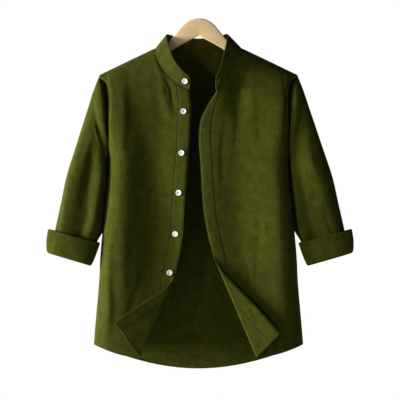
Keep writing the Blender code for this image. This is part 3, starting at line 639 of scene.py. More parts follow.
# Folds (angle, place at the start, angle, place at the end, half-width in degrees, depth)
SLEEVE_FOLDS = {
    -1: ((84, 1.0, 108, 9.4, 14, 8), (-70, 2.5, -48, 8.4, 18, 5), (40, 2.0, 54, 8.8, 18, -4),
         (-116, 2.0, -100, 8.0, 16, -4)),
    1: ((112, 2.6, 114, 9.4, 12, 6), (-70, 2.5, -48, 8.4, 18, 5), (72, 1.5, 62, 8.8, 20, -5),
        (-116, 2.0, -100, 8.0, 16, -4))}
FINE_SLEEVE_FOLDS = {
    -1: ((78, 1.6, 84, 7.6, 12, 4.0), (124, -0.4, 120, 8.4, 15, -4.5), (138, 4.0, 126, 8.8, 9, 2.2),
         (44, 4.5, 60, 8.6, 9, -1.6), (-90, 0.5, -100, 4.0, 9, 1.8), (-40, 3.0, -30, 7.5, 10, -2.0),
         (20, 2.0, 14, 7.0, 9, 1.6), (62, 0.4, 56, 3.6, 9, 1.8), (-140, 2.5, -128, 8.0, 10, 2.0)),
    1: ((74, 5.4, 62, 9.0, 8, 2.4), (84, 1.0, 78, 5.0, 12, -2.0),
        (-90, 0.5, -100, 4.0, 9, 1.8), (-44, 3.0, -34, 7.5, 10, -2.0), (24, 2.4, 18, 7.4, 9, 1.6),
        (-140, 2.5, -128, 8.0, 10, 2.0))}
SLEEVE_WANDER, SLEEVE_WAVES = 9, 5   # how far a fine fold wanders round the sleeve, and how often
SECTION_SQUARENESS = 0.8             # 1 is a true oval, less is flatter in front and behind
SET_BACK_CURVE = 10.0                # the inner flank stays forward, then goes back steeply
INNER_SQUARENESS = 0.3               # and the front is flat up to it

# The crease where a sleeve falls from its armhole seam: the cloth dips in behind the seam and comes
# out again (place along the sleeve, half-width, depth, and the angle round the armhole where it ends)
ARMHOLE_CREASE = ((0.24, 0.15, 17, 160), (0.75, 0.4, -7, 100))
CREASE_START, CREASE_FADE = 6, 16
CREASE_CLEAR = 0.1                   # the seam itself stays where it is up to this place
SHOULDER_START = TOP_PLACE - 0.3     # where the armhole's front goes over to the yoke


def sleeve_dent(folds, places, turns, lean=0.0):
    """How far a sleeve's folds push its cloth in: places by row, turns in degrees by column."""
    dent = np.zeros((len(places), len(turns)))
    for number, (angle1, place1, angle2, place2, width, depth) in enumerate(folds):
        along = np.clip((places - place1) / (place2 - place1), 0, 1)[:, None]
        wander = lean * SLEEVE_WANDER * np.sin(SLEEVE_WAVES * along + number)
        aside = (turns[None, :] - (angle1 + (angle2 - angle1) * along + wander)) / width
        aside = aside * (1 + lean * (-1) ** number * np.tanh(aside))
        dent += depth * np.sin(math.pi * along) ** FADE * np.exp(-aside**2)
    return dent


def armhole_ring(turns, side):
    """The armhole's points at angles round it, from the tip down the front and up the back."""
    over_front = shoulder_strip(1.0, np.array([1.0]), np.linspace(0, 1, 9)[1:], side)
    over_back = shoulder_strip(1.0, np.linspace(0, 1, 25), np.array([]), side)[::-1]
    runs = []
    for panel_y, shoulder, start in ((front_y, over_front, SHOULDER_START), (back_y, over_back, YOKE_ROW)):
        x, z = side_points(np.linspace(start, UNDERARM, 120))
        points = np.concatenate([shoulder, hung_at(panel_y, side * x, z)[:-1], [[side * x[-1], 0, z[-1]]]])
        length = run_of(points)
        runs.append((points, 180 * length / length[-1]))
    ring = [[np.interp(abs(turn), runs[turn < 0][1], runs[turn < 0][0][:, axis]) for axis in range(3)]
            for turn in turns]
    return np.array(ring)


def oval(outer, inner, half_depth, turns, set_back=0.0):
    """A section of a sleeve: a flattened oval through its outer and inner points, its inner side set
    back."""
    turn = np.radians(turns)[:, None]
    centre, spread = (outer + inner) / 2, (outer - inner) / 2
    across, round_it = (np.sign(value) * np.abs(value) ** SECTION_SQUARENESS
                        for value in (np.cos(turn), np.sin(turn)))
    inner_front = (np.cos(turn) < 0) & (np.sin(turn) > 0)
    round_it = np.where(inner_front, np.abs(np.sin(turn)) ** INNER_SQUARENESS, round_it)
    back = set_back * ((1 - np.cos(turn)) / 2) ** SET_BACK_CURVE
    return centre + spread * across + np.array([0, 1, 0]) * (back - half_depth * round_it)


TURNS = np.linspace(-180, 180, 121)      # the seam is under the arm
SLEEVE_PLACES = np.concatenate([np.linspace(0, 1, 18), np.linspace(1.05, 9, 150)])


def tube(rings, places):
    """A sleeve's points at places along its sections, before its folds."""
    table = np.array(rings).reshape(len(rings), -1)
    return smooth_rows(table, places).reshape(len(places), len(TURNS), 3)


def pushed_in(hung, centre, dent):
    """A tube's points with its folds pushed in towards its middle."""
    return hung + unit(centre - hung) * dent[..., None]


def tube_sheet(name, side, hung, wall):
    """A sleeve's sheet, mirrored to its side."""
    hung = hung * (side, 1, 1)
    hung = hung[:, ::-1] if side < 0 else hung
    return sheet_piece(name, flat_from(hung), hung, wall)


def armhole_crease():
    """How far back the crease takes the cloth at each place of a sleeve."""
    total = 0
    for place, width, depth, end in ARMHOLE_CREASE:
        starts, ends = (0.5 + 0.5 * np.tanh(way / CREASE_FADE) for way in (TURNS - CREASE_START, end - TURNS))
        near = np.exp(-((SLEEVE_PLACES - place) / width) ** 2) * np.minimum(SLEEVE_PLACES / CREASE_CLEAR, 1)
        total = total + depth * near[:, None] * starts * ends
    return total


def sleeve_piece(name, side, reach):
    rings = [armhole_ring(TURNS, side) * (side, 1, 1)]
    last = len(SLEEVE) - 1
    for number, (outer_x, outer_z, clear, inner_z, half_depth, set_back) in enumerate(SLEEVE):
        further = reach * number / last
        outer = np.array([outer_x + further, 0, outer_z])
        inner = np.array([side_x(inner_z) + clear + further / 2 * (number / last) ** 2, 0, inner_z])
        rings.append(oval(outer, inner, half_depth, TURNS, set_back))
    hung = tube(rings, SLEEVE_PLACES)
    dent = (sleeve_dent(SLEEVE_FOLDS[side], SLEEVE_PLACES - 1, TURNS)
            + sleeve_dent(FINE_SLEEVE_FOLDS[side], SLEEVE_PLACES - 1, TURNS, FOLD_LEAN))
    hung = pushed_in(hung, hung[:, :-1].mean(axis=1, keepdims=True), dent)
    hung[..., 1] += armhole_crease()
    return tube_sheet(name, side, hung, CLOTH_WALL)


sleeve_right = sleeve_piece("sleeve_right_cloth", -1, 0.0)
sleeve_left = sleeve_piece("sleeve_left_cloth", 1, LEFT_SLEEVE_REACH)


# %% The rolled ends
ROLL_WALL = 1.6
# Beyond the upper edge: how far each row lies in from it, and how far up (the last one far inside)
ROLL_INSIDE = ((1.6, 1.2), (3.2, -1.0), (4.0, -14.0))
TURN_UP_FOLDS = (
    (70, 3.0, 52, 5.4, 20, 1.6), (112, 2.6, 96, 5.2, 14, -1.4), (30, 3.2, 60, 5.5, 12, 1.3),
    (-60, 3.0, -84, 5.4, 16, 1.6), (-120, 2.8, -104, 5.2, 14, -1.4), (150, 3.0, 134, 5.0, 12, 1.2))


def turn_up_piece(name, side, reach):
    """The sleeve's end rolled outwards, round the lower fold to the upper edge and back inside."""
    rings = [oval(np.array([outer_x + reach, 0, outer_z]), np.array([inner_x + reach / 2, 0, inner_z]),
                  half_depth, TURNS) for outer_x, outer_z, inner_x, inner_z, half_depth in TURN_UP]
    top = rings[-1]
    up = unit((top - rings[-2]).mean(axis=0))
    centre = top[:-1].mean(axis=0)
    rings += [top + unit(centre - top) * inset + up * rise for inset, rise in ROLL_INSIDE]
    places = np.concatenate([np.linspace(0, 5, 100), np.linspace(5.06, 8, 40)])
    dent = sleeve_dent(TURN_UP_FOLDS, places, TURNS, FOLD_LEAN)
    return tube_sheet(name, side, pushed_in(tube(rings, places), centre, dent), ROLL_WALL)


turn_up_right = turn_up_piece("turn_up_right_cloth", -1, 0.0)
turn_up_left = turn_up_piece("turn_up_left_cloth", 1, LEFT_SLEEVE_REACH)


# %% [markdown]
# ## The band collar
#
# The collar is a stand alone, a doubled band sewn to the neckline with rounded front ends. A straight
# band could be bent round with a curve modifier, but the neckline is no plain curve. So its strips run
# from each point of the neckline to a point of its upper edge, which a table gives.

# %% The collar
COLLAR = np.array([
    (-16.5, -44, -140), (-33, -44, -127), (-45, -43.5, -114), (-56, -41, -99), (-67, -33, -73),
    (-73, -18, -50), (-73.5, 1, -38), (-62, 17, -39), (-34, 25, -44), (-2, 27, -46), (30, 25, -44),
    (55, 17, -39), (67, 1, -37), (66, -21, -50), (60, -36, -78), (54, -42, -103), (49, -43, -119),
    (42, -44, -134), (39, -46, -152)], float)
NECK_BACK_SHARES = np.array([-1, -0.82, -0.43, 0, 0.43, 0.82, 1])
COLLAR_END_ROUND = 16.0              # over this length the band rises to its full height
COLLAR_END_HEIGHT = 0.5
COLLAR_SHARES = np.array([0, 0.02, 0.05, 0.08, 0.13, 0.22, 0.34, 0.46, 0.58, 0.7, 0.8, 0.87, 0.91, 0.94,
                          0.97, 1])
COLLAR_STITCH_SHARES = (0.08, 0.91)
COLLAR_TOP_WALL = 0.6                # its upper edge is pressed thinner


def neckline():
    """A point of the neckline for each row of the collar's table."""
    right, left = (hung_at(front_y, *front_neckline(edge, neck).T) for edge, neck, _ in (RIGHT, LEFT))
    return np.concatenate([right, neck_back_points(NECK_SIDE_X * NECK_BACK_SHARES), left[::-1]])


def collar_points(places, shares):
    """Points of the band: places along the collar's table by column, shares of its height by row."""
    seam, top = smooth_rows(neckline(), places), smooth_rows(COLLAR, places)
    run = run_of(seam)
    short = 1 - np.minimum(np.minimum(run, run[-1] - run) / COLLAR_END_ROUND, 1.0)
    height = COLLAR_END_HEIGHT + (1 - COLLAR_END_HEIGHT) * np.sqrt(1 - short**2)
    up = (top - seam) * height[:, None]
    return seam[None] + up[None] * shares[:, None, None]


collar_places = (len(COLLAR) - 1) * (0.5 - 0.5 * np.cos(math.pi * np.linspace(0, 1, 241)))
collar_hung = collar_points(collar_places, COLLAR_SHARES)
layers = np.ones(collar_hung.shape[:2]) - row_grooves(COLLAR_SHARES, COLLAR_STITCH_SHARES)[:, None]
layers[-1] *= COLLAR_TOP_WALL
collar = sheet_piece("collar_band", flat_from(collar_hung), collar_hung, DOUBLE_WALL, layers)


# %% [markdown]
# ## Stitches
#
# A stitch is a short pull of thread that dives into the cloth at both ends. A dotted line could be
# painted along each seam, but close by it would look printed. Here one stitch is modelled from a small
# cylinder, its ends drawn out and down, and copied along the same lines that the seams were pressed
# on. A lock stitch shows on both faces of the cloth, so each run has a row on either side. That also
# gives the rows that show on the turned-out corners.

# %% One stitch
STITCH_STEP = 3.3                # from one stitch to the next
STITCH_MIDDLE, STITCH_END, STITCH_DROP = 1.3, 0.6, 0.34
THREAD_RADIUS = 0.24
THREAD_RISE = 0.12               # how far a thread's middle lies over the cloth's face


def pick(made, test):
    """Selects a piece's faces by their middle and the way they look, in edit mode."""
    only(made)
    bpy.ops.object.mode_set(mode="EDIT")
    bpy.ops.mesh.select_mode(type="FACE")
    bpy.ops.mesh.select_all(action="DESELECT")
    bpy.ops.object.mode_set(mode="OBJECT")
    for face in made.data.polygons:
        face.select = bool(test(face.center / MM, face.normal))
    bpy.ops.object.mode_set(mode="EDIT")


def thread_piece(name, middle, end, drop, radius):
    """A straight run of thread along X whose two ends go down and narrow."""
    bpy.ops.object.select_all(action="DESELECT")
    bpy.ops.mesh.primitive_cylinder_add(vertices=6, radius=radius * MM, depth=middle * MM,
                                        rotation=(0, math.pi / 2, 0))
    made = bpy.context.object
    made.name = name
    bpy.ops.object.transform_apply(rotation=True)
    for way in (-1, 1):
        pick(made, lambda face_middle, normal: normal.x * way > 0.9)
        bpy.ops.mesh.extrude_region_move(
            TRANSFORM_OT_translate={"value": (way * end * MM, 0, -drop * MM)})
        bpy.ops.object.mode_set(mode="OBJECT")
    return made


def copies(name, model, places, along, out):
    """A piece with a copy of the model at each place, its X along and its Z out of the cloth."""
    along = unit(along)
    across = unit(np.cross(out, along))
    out = np.cross(along, across)
    mesh = model.data
    at = points_of(mesh)[None]
    spread = (places[:, None] * MM + at[..., 0:1] * along[:, None] + at[..., 1:2] * across[:, None]
              + at[..., 2:3] * out[:, None])
    faces = [[corner + number * at.shape[1] for corner in face.vertices]
             for number in range(len(places)) for face in mesh.polygons]
    made = bpy.data.objects.new(name, bpy.data.meshes.new(name))
    made.data.from_pydata(spread.reshape(-1, 3), [], faces)
    made.data.polygons.foreach_set("use_smooth", [True] * len(faces))
    bpy.context.scene.collection.objects.link(made)
    print(name, len(places), "copies,", len(faces), "faces")
    return made


stitch = thread_piece("stitch", STITCH_MIDDLE, STITCH_END, STITCH_DROP, THREAD_RADIUS)
print("one stitch:", len(stitch.data.polygons), "faces")


# %% Where the rows run
PROBE = 0.4                      # millimetres to each side, to see which way the cloth looks
STITCH_REACH = 0.8               # and along a row, to see which way it runs
# How far a row's threads lie from the middle of the cloth
HALF_WALL = {"placket": 0.45, "hem": 0.62, "yoke": 0.5, "band": 0.64}


def on_cloth(form, line, way=1):
    """Flat points as they hang, and the way the cloth's outer face looks (way -1 for the back's)."""
    x, z = np.asarray(line, float).T
    over = form(x + PROBE, z) - form(x - PROBE, z)
    up = form(x, z + PROBE) - form(x, z - PROBE)
    return form(x, z), way * unit(np.cross(over, up))


def stitch_places(points, out, half_wall):
    """Evenly spaced places along a run of points, on both faces of the cloth."""
    run = run_of(points)
    middles = np.arange(STITCH_STEP, run[-1] - STITCH_STEP / 2, STITCH_STEP)

    def at(values, where):
        return np.stack([np.interp(where, run, values[:, axis]) for axis in range(3)], axis=-1)

    place, way = at(points, middles), at(out, middles)
    along = at(points, middles + STITCH_REACH) - at(points, middles - STITCH_REACH)
    rows = [(place + way * face * (half_wall + THREAD_RISE), along, way * face) for face in (-1, 1)]
    return [np.concatenate(parts) for parts in zip(*rows)]


def stitched(name, runs):
    """Rows of stitches along several runs, as one piece."""
    parts = [stitch_places(*run) for run in runs]
    return copies(name, stitch, *(np.concatenate(values) for values in zip(*parts)))


def front_stitches(name, front):
    edge, neck, corner = front
    form = front_form(*front)
    runs = [(*on_cloth(form, placket_line(edge, share, 0.03, NOTCH - 0.02, 400)), HALF_WALL["placket"])
            for share in STITCH_SHARES]
    hem = hem_line(edge, neck, side_of(corner), STITCH_PLACE)
    return stitched(name, runs + [(*on_cloth(form, hem), HALF_WALL["hem"])])


def hung_front(x, z):
    return hung_at(front_y, x, z)


def hung_back(x, z):
    return hung_at(back_y, x, z)


stitches_front_right = front_stitches("stitches_front_right", RIGHT)
stitches_front_left = front_stitches("stitches_front_left", LEFT)

hem_x, hem_z = back_flat(np.array([STITCH_PLACE * BACK_HEM]), np.linspace(-0.985, 0.985, 300))
yoke_back = np.stack([np.linspace(-203, 203, 200), np.full(200, YOKE_BACK_Z + STITCH_IN)], axis=-1)
stitches_back = stitched("stitches_back", [
    (*on_cloth(hung_back, np.stack([hem_x[0], hem_z[0]], axis=-1), -1), HALF_WALL["hem"]),
    (*on_cloth(hung_back, yoke_back, -1), HALF_WALL["yoke"])])

neck_end, tip_end = np.array(LEFT_NECK[-1]), SIDE[-1]
yoke_front = np.linspace(0.03, 0.95, 120)[:, None] * (tip_end - neck_end) + neck_end + (0.9, STITCH_IN)
stitches_yoke = stitched("stitches_yoke", [(*on_cloth(hung_front, yoke_front * (side, 1)), HALF_WALL["yoke"])
                                           for side in (-1, 1)])

COLLAR_END = 10                  # columns that the band's rows of stitches stay clear of its ends
way_along, way_up = np.gradient(collar_hung, axis=1), np.gradient(collar_hung, axis=0)
collar_out = unit(np.cross(way_along, way_up))
low, high = np.searchsorted(COLLAR_SHARES, COLLAR_STITCH_SHARES)
spans = [(row, slice(COLLAR_END, -COLLAR_END)) for row in (low, high)]
spans += [(slice(low, high + 1), column) for column in (COLLAR_END, -COLLAR_END - 1)]
stitches_collar = stitched("stitches_collar", [(collar_hung[span], collar_out[span], HALF_WALL["band"])
                                               for span in spans])


# %% [markdown]
# ## Buttonholes
#
# A buttonhole is a slit with a dense cord of thread sewn round it. It could be cut through the cloth,
# but a closed one shows as two lips side by side. A ring is added, its two halves are pulled apart in
# edit mode, and the copies lie at the same heights as the buttons, upright on the left placket. The
# one on the collar's left end runs along the band, in paler thread.

# %% One buttonhole, and where they are
HOLE_REACH = 6.0                 # from a hole's middle to its end
LIP_OUT, LIP_RADIUS = 0.75, 0.42
LIP_MIDDLE = 0.12                # faces nearer to the ring's middle than this stay between its halves
LIP_LIFT = 0.78                  # from the middle of the placket's cloth
HOLE_HEIGHTS = np.array([-226, -322, -414, -506, -592])
COLLAR_HOLE_IN = 30              # columns from the band's left end

bpy.ops.object.select_all(action="DESELECT")
bpy.ops.mesh.primitive_torus_add(major_segments=20, minor_segments=6, major_radius=LIP_OUT * MM,
                                 minor_radius=LIP_RADIUS * MM)
buttonhole = bpy.context.object
buttonhole.name = "buttonhole"
for way in (-1, 1):
    pick(buttonhole, lambda middle, normal: middle.x * way > LIP_MIDDLE)
    bpy.ops.transform.translate(value=(way * HOLE_REACH * MM, 0, 0))
    bpy.ops.object.mode_set(mode="OBJECT")


def middle_at(heights):
    """Flat points of the left placket's middle."""
    line = placket_line(LEFT_EDGE, 0.5, 0.2, NOTCH, 400)
    line = line[np.argsort(line[:, 1])]
    return np.stack([np.interp(heights, line[:, 1], line[:, 0]), heights], axis=-1)


def buttonholes(name, points, out, along, lift):
    """A buttonhole at each point, on both faces of the cloth."""
    return copies(name, buttonhole, np.concatenate([points + out * lift, points - out * lift]),
                  np.tile(along, (2, 1)), np.concatenate([out, -out]))


form = front_form(*LEFT)
points, out = on_cloth(form, middle_at(HOLE_HEIGHTS))
holes_placket = buttonholes("buttonholes_placket", points, out,
                            form(*middle_at(HOLE_HEIGHTS + 1).T) - points, LIP_LIFT)
here = [len(COLLAR_SHARES) // 2], [len(collar_places) - COLLAR_HOLE_IN]
hole_collar = buttonholes("buttonhole_collar", collar_hung[here], collar_out[here], way_along[here],
                          DOUBLE_WALL / 2)


# %% [markdown]
# ## Buttons
#
# The buttons are white four-hole shirt buttons, 13 mm across. Such a button could be lathed as a
# profile, but the holes need cutting anyway. A cylinder is added, its face inset and pushed in for the
# dish, the rims are bevelled, four holes are cut, and two bars of thread run over the middle. The
# shank of thread under the button holds it off the cloth.

# %% One button with its thread
BUTTON_RADIUS, BUTTON_HIGH = 6.5, 2.6
BUTTON_RIM, BUTTON_DISH, DISH_SLOPE, RIM_ROUND = 1.5, 0.75, 0.7, 0.45
HOLE_RADIUS, HOLE_SPREAD = 0.95, 1.6
BUTTON_LIFT, COLLAR_BUTTON_LIFT = 0.5, 0.7
BAR_END, BAR_DROP, BAR_RADIUS = 0.25, 1.6, 0.42     # a bar of thread narrows and goes down its holes
BAR_RISE = 0.25                                     # and lies this far over the dish
SHANK_RADIUS, SHANK_HIGH, SHANK_DOWN = 1.5, 0.9, 0.3
BUTTON_PLACES = np.array([(-34.5, -217.5), (-39, -313.5), (-45.5, -405), (-53, -500.5), (-66.5, -590)])


def cut_holes(made, spots, radius, depth):
    """Cuts round holes along Z through a piece."""
    for x, y in spots:
        bpy.ops.object.select_all(action="DESELECT")
        bpy.ops.mesh.primitive_cylinder_add(vertices=14, radius=radius * MM, depth=depth * MM,
                                            location=(x * MM, y * MM, 0))
        drill = bpy.context.object
        cut = made.modifiers.new("hole", "BOOLEAN")
        cut.object = drill
        cut.solver = "EXACT"
        apply_all(made)
        bpy.data.objects.remove(drill)


def rounded(made, width, segments, angle):
    """Bevels the edges of a piece that are sharper than an angle in degrees."""
    bevel = made.modifiers.new("rounded", "BEVEL")
    bevel.width = width * MM
    bevel.segments = segments
    bevel.limit_method = "ANGLE"
    bevel.angle_limit = math.radians(angle)
    apply_all(made)


bpy.ops.object.select_all(action="DESELECT")
bpy.ops.mesh.primitive_cylinder_add(vertices=40, radius=BUTTON_RADIUS * MM, depth=BUTTON_HIGH * MM)
button = bpy.context.object
button.name = "button"
pick(button, lambda middle, normal: normal.z > 0.9)
bpy.ops.mesh.inset(thickness=BUTTON_RIM * MM, depth=0)
bpy.ops.mesh.inset(thickness=DISH_SLOPE * MM, depth=-BUTTON_DISH * MM)
bpy.ops.object.mode_set(mode="OBJECT")
rounded(button, RIM_ROUND, 3, 30)
cut_holes(button, [(x * HOLE_SPREAD, y * HOLE_SPREAD) for x in (-1, 1) for y in (-1, 1)], HOLE_RADIUS,
          3 * BUTTON_HIGH)
only(button)
bpy.ops.object.shade_smooth_by_angle(angle=math.radians(35))

bars = []
for y in (-HOLE_SPREAD, HOLE_SPREAD):
    bar = thread_piece("bar", 2 * (HOLE_SPREAD - BAR_END), BAR_END, BAR_DROP, BAR_RADIUS)
    pick(bar, lambda middle, normal: True)
    bpy.ops.transform.translate(value=(0, y * MM, (BUTTON_HIGH / 2 - BUTTON_DISH + BAR_RISE) * MM))
    bpy.ops.object.mode_set(mode="OBJECT")
    bars.append(bar)
bpy.ops.object.select_all(action="DESELECT")
bpy.ops.mesh.primitive_cylinder_add(vertices=10, radius=SHANK_RADIUS * MM, depth=SHANK_HIGH * MM,
                                    location=(0, 0, -(BUTTON_HIGH / 2 + SHANK_DOWN) * MM))
bpy.ops.object.transform_apply(location=True)
for bar in bars:
    bar.select_set(True)
bpy.ops.object.join()
button_thread = bpy.context.object
button_thread.name = "button_thread"
print("one button:", len(button.data.polygons), "faces, its thread:", len(button_thread.data.polygons))

# %% A button at each place
COLLAR_BUTTON, COLLAR_BUTTON_NEXT = 0.55, 0.75      # its place along the collar's table, and one on
FIRST_TURN, NEXT_TURN = 12, 31                      # degrees: they are sewn on at no particular angle

touching = (DOUBLE_WALL + BUTTON_HIGH) / 2
spots, facings = hung_front(*BUTTON_PLACES.T), on_cloth(front_form(*RIGHT), BUTTON_PLACES)[1]
sewn_on = [(f"button_{number + 1}", spot + out * (touching + BUTTON_LIFT), out)
           for number, (spot, out) in enumerate(zip(spots, facings))]
seam, next_seam = smooth_rows(neckline(), [COLLAR_BUTTON, COLLAR_BUTTON_NEXT])
top = smooth_rows(COLLAR, [COLLAR_BUTTON])[0]
out = unit(np.cross(next_seam - seam, top - seam))
out = out * -np.sign(out[1])
sewn_on.append(("button_collar", (seam + top) / 2 + out * (touching + COLLAR_BUTTON_LIFT), out))
BUTTONS, THREADS = {}, []
for number, (replaced, spot, out) in enumerate(sewn_on):
    turn = math.radians(FIRST_TURN + NEXT_TURN * number)
    along = np.array([[math.cos(turn), 0, math.sin(turn)]])
    BUTTONS[copies(f"{replaced}_disc", button, spot[None], along, out[None])] = replaced
    THREADS.append(copies(f"{replaced}_thread", button_thread, spot[None], along, out[None]))


# %% [markdown]
# ## The hanger
#
# A plain hanger is cut from a plank with a band saw, then its edges are rounded with a router. It is
# made the same way here: a strip drawn to the outline, pushed through to its thickness in edit mode,
# bevelled round and drilled for the hook. Its underside keeps the sharp bend that the sawn shape has.

# %% The hanger
# Half of its outline from the crown to the arm's end (x, top, underside)
HANGER = np.array([
    (0, 0, -40.5), (14, -1.8, -48), (27, -6.9, -55), (39, -17.2, -61.5), (53, -36, -69.5),
    (62, -46.5, -75.5), (70, -55.5, -81), (79, -66, -87), (86, -72.5, -91), (98, -75.7, -98),
    (112, -78.8, -105), (125, -84.1, -112), (160, -100.9, -130), (190, -115.4, -145),
    (204, -122.6, -151), (211, -131, -149)], float)
HANGER_HALF, HANGER_ROUND = 6.0, 3.2
SOCKET_RADIUS, SOCKET_DEPTH = 2.4, 18.0
STATIONS = 72            # along half the hanger
EVEN_OVER = 3            # the top is evened over so many stations to each side
ARM_END = 6              # but not at the last ones

half_x = np.linspace(0, HANGER[-1, 0], STATIONS)
tops, unders = (np.interp(half_x, HANGER[:, 0], HANGER[:, column]) for column in (1, 2))
mirrored = np.concatenate([tops[EVEN_OVER:0:-1], tops, tops[-EVEN_OVER - 1:-1][::-1]])
window = 2 * EVEN_OVER + 1
even_top = np.convolve(mirrored, np.ones(window) / window, "valid")
even_top[-ARM_END:] = tops[-ARM_END:]
stations = np.concatenate([-half_x[:0:-1], half_x])
outline = [np.concatenate([values[:0:-1], values]) for values in (unders, even_top)]

bpy.ops.object.select_all(action="DESELECT")
bpy.ops.mesh.primitive_grid_add(x_subdivisions=len(stations) - 1, y_subdivisions=1, size=2)
hanger = bpy.context.object
hanger.name = hanger.data.name = "hanger_wood"
for vertex in hanger.data.vertices:
    station = round((vertex.co.x + 1) / 2 * (len(stations) - 1))
    height = outline[1 if vertex.co.y > 0 else 0][station]
    vertex.co = Vector((stations[station], -HANGER_HALF, height)) * MM
pick(hanger, lambda middle, normal: True)
bpy.ops.mesh.extrude_region_move(TRANSFORM_OT_translate={"value": (0, 2 * HANGER_HALF * MM, 0)})
bpy.ops.mesh.select_all(action="SELECT")
bpy.ops.mesh.normals_make_consistent(inside=False)
bpy.ops.object.mode_set(mode="OBJECT")
rounded(hanger, HANGER_ROUND, 5, 62)
cut_holes(hanger, [(0, 0)], SOCKET_RADIUS, 2 * SOCKET_DEPTH)
only(hanger)
bpy.ops.object.shade_smooth_by_angle(angle=math.radians(30))
print("hanger:", len(hanger.data.polygons), "faces")
for model in (stitch, buttonhole, button, button_thread):
    bpy.data.objects.remove(model)


# %% [markdown]
# ## Finishes
#
# The cloth is a fine plain weave of cotton and linen in dark olive. Linen threads are uneven, which
# gives short thicker streaks along and across, and washing gives a faint mottle. An image of cloth
# could be wrapped on, but it would repeat and blur. Here noise is stretched along the weave's own UV
# map, in metres, so every panel keeps its true scale and the streaks turn with a folded corner.

# %% Node helpers
MIX_DARK, MIX_LIGHT, MIX_COLOUR = 6, 7, 2      # a Mix node's colour sockets, which share their names


def shader_of(name, rough, level=0.3):
    """A new material and its shader, with the values that are the same all over."""
    made = bpy.data.materials.new(name)
    made.use_nodes = True
    shader = made.node_tree.nodes["Principled BSDF"]
    shader.inputs["Roughness"].default_value = rough
    shader.inputs["Specular IOR Level"].default_value = level
    return made, shader


def node(made, kind, **values):
    """Adds a node; values are its settings."""
    added = made.node_tree.nodes.new(kind)
    for name, value in values.items():
        setattr(added, name, value)
    return added


def join(made, source, target):
    made.node_tree.links.new(source, target)


def place_of(made):
    return node(made, "ShaderNodeTexCoord").outputs["Object"]


def stretched_noise(made, coordinates, scale, detail=2.0):
    """Noise with a scale of its own along each axis, per metre."""
    stretch = node(made, "ShaderNodeMapping")
    stretch.inputs["Scale"].default_value = scale
    noise = node(made, "ShaderNodeTexNoise")
    noise.inputs["Scale"].default_value = 1.0
    noise.inputs["Detail"].default_value = detail
    join(made, coordinates, stretch.inputs["Vector"])
    join(made, stretch.outputs["Vector"], noise.inputs["Vector"])
    return noise.outputs["Fac"]


def weighted(made, parts, start=0.0):
    """A sum of signals, each times its weight."""
    total = None
    for signal, weight in parts:
        step = node(made, "ShaderNodeMath", operation="MULTIPLY_ADD")
        join(made, signal, step.inputs[0])
        step.inputs[1].default_value = weight
        if total is None:
            step.inputs[2].default_value = start
        else:
            join(made, total, step.inputs[2])
        total = step.outputs["Value"]
    return total


def tone_of(made, parts):
    """The same, about the middle between dark and light."""
    return weighted(made, parts, 0.5 - 0.5 * sum(weight for signal, weight in parts))


def two_tone(made, shader, tone, dark, light):
    """Colours a finish from dark to light by a signal."""
    colour = node(made, "ShaderNodeMix", data_type="RGBA")
    colour.inputs[MIX_DARK].default_value = (*dark, 1)
    colour.inputs[MIX_LIGHT].default_value = (*light, 1)
    join(made, tone, colour.inputs["Factor"])
    join(made, colour.outputs[MIX_COLOUR], shader.inputs["Base Color"])


def bumped(made, shader, height, strength, distance):
    """Raises a finish by a signal."""
    bump = node(made, "ShaderNodeBump")
    bump.inputs["Strength"].default_value = strength
    bump.inputs["Distance"].default_value = distance
    join(made, height, bump.inputs["Height"])
    join(made, bump.outputs["Normal"], shader.inputs["Normal"])


# %% Olive cloth
THREADS_PER_METRE = 520


def olive_cloth(name, dark, light):
    made, shader = shader_of(name, 0.9, 0.08)
    shader.inputs["Sheen Weight"].default_value = 0.012
    shader.inputs["Sheen Roughness"].default_value = 0.45
    shader.inputs["Sheen Tint"].default_value = (0.62, 0.64, 0.34, 1)
    weave = node(made, "ShaderNodeUVMap", uv_map="weave").outputs["UV"]
    place = place_of(made)
    warp_slub = stretched_noise(made, weave, (520, 36, 1))
    weft_slub = stretched_noise(made, weave, (40, 480, 1))
    warp_streak = stretched_noise(made, weave, (190, 16, 1))
    weft_streak = stretched_noise(made, weave, (18, 170, 1))
    thread = stretched_noise(made, weave, (560, 640, 1), 1.0)
    mottle = stretched_noise(made, place, (60, 60, 48), 3.0)
    cloud = stretched_noise(made, place, (9, 9, 6))
    tone = tone_of(made, [(warp_slub, 0.9), (weft_slub, 0.9), (warp_streak, 0.3), (weft_streak, 0.4),
                          (thread, 1.1), (mottle, 1.0), (cloud, 0.4)])
    two_tone(made, shader, tone, dark, light)
    waves = []
    for direction in ("X", "Y"):
        wave = node(made, "ShaderNodeTexWave", bands_direction=direction)
        wave.inputs["Scale"].default_value = THREADS_PER_METRE
        wave.inputs["Distortion"].default_value = 0.6
        join(made, weave, wave.inputs["Vector"])
        waves.append((wave.outputs["Fac"], 0.18))
    height = weighted(made, waves + [(warp_slub, 0.8), (weft_slub, 0.8), (warp_streak, 0.2),
                                     (weft_streak, 0.3), (mottle, 1.2)])
    bumped(made, shader, height, 0.75, 0.0006)
    return made


olive = olive_cloth("olive_cloth", (0.025, 0.029, 0.0012), (0.066, 0.072, 0.0052))
print("olive cloth:", len(olive.node_tree.nodes), "nodes")


# %% Thread, button and wood
def thread_finish(name, dark, light):
    """Twisted thread: fine grain, finest along Z."""
    made, shader = shader_of(name, 0.7, 0.2)
    two_tone(made, shader, stretched_noise(made, place_of(made), (900, 900, 2400), 1.0), dark, light)
    return made


def button_finish():
    """White moulded button, softly glossy, with faint clouding."""
    made, shader = shader_of("button_white_resin", 0.28, 0.5)
    cloud = stretched_noise(made, place_of(made), (260, 260, 420), 3.0)
    two_tone(made, shader, cloud, (0.90, 0.89, 0.87), (0.99, 0.985, 0.97))
    return made


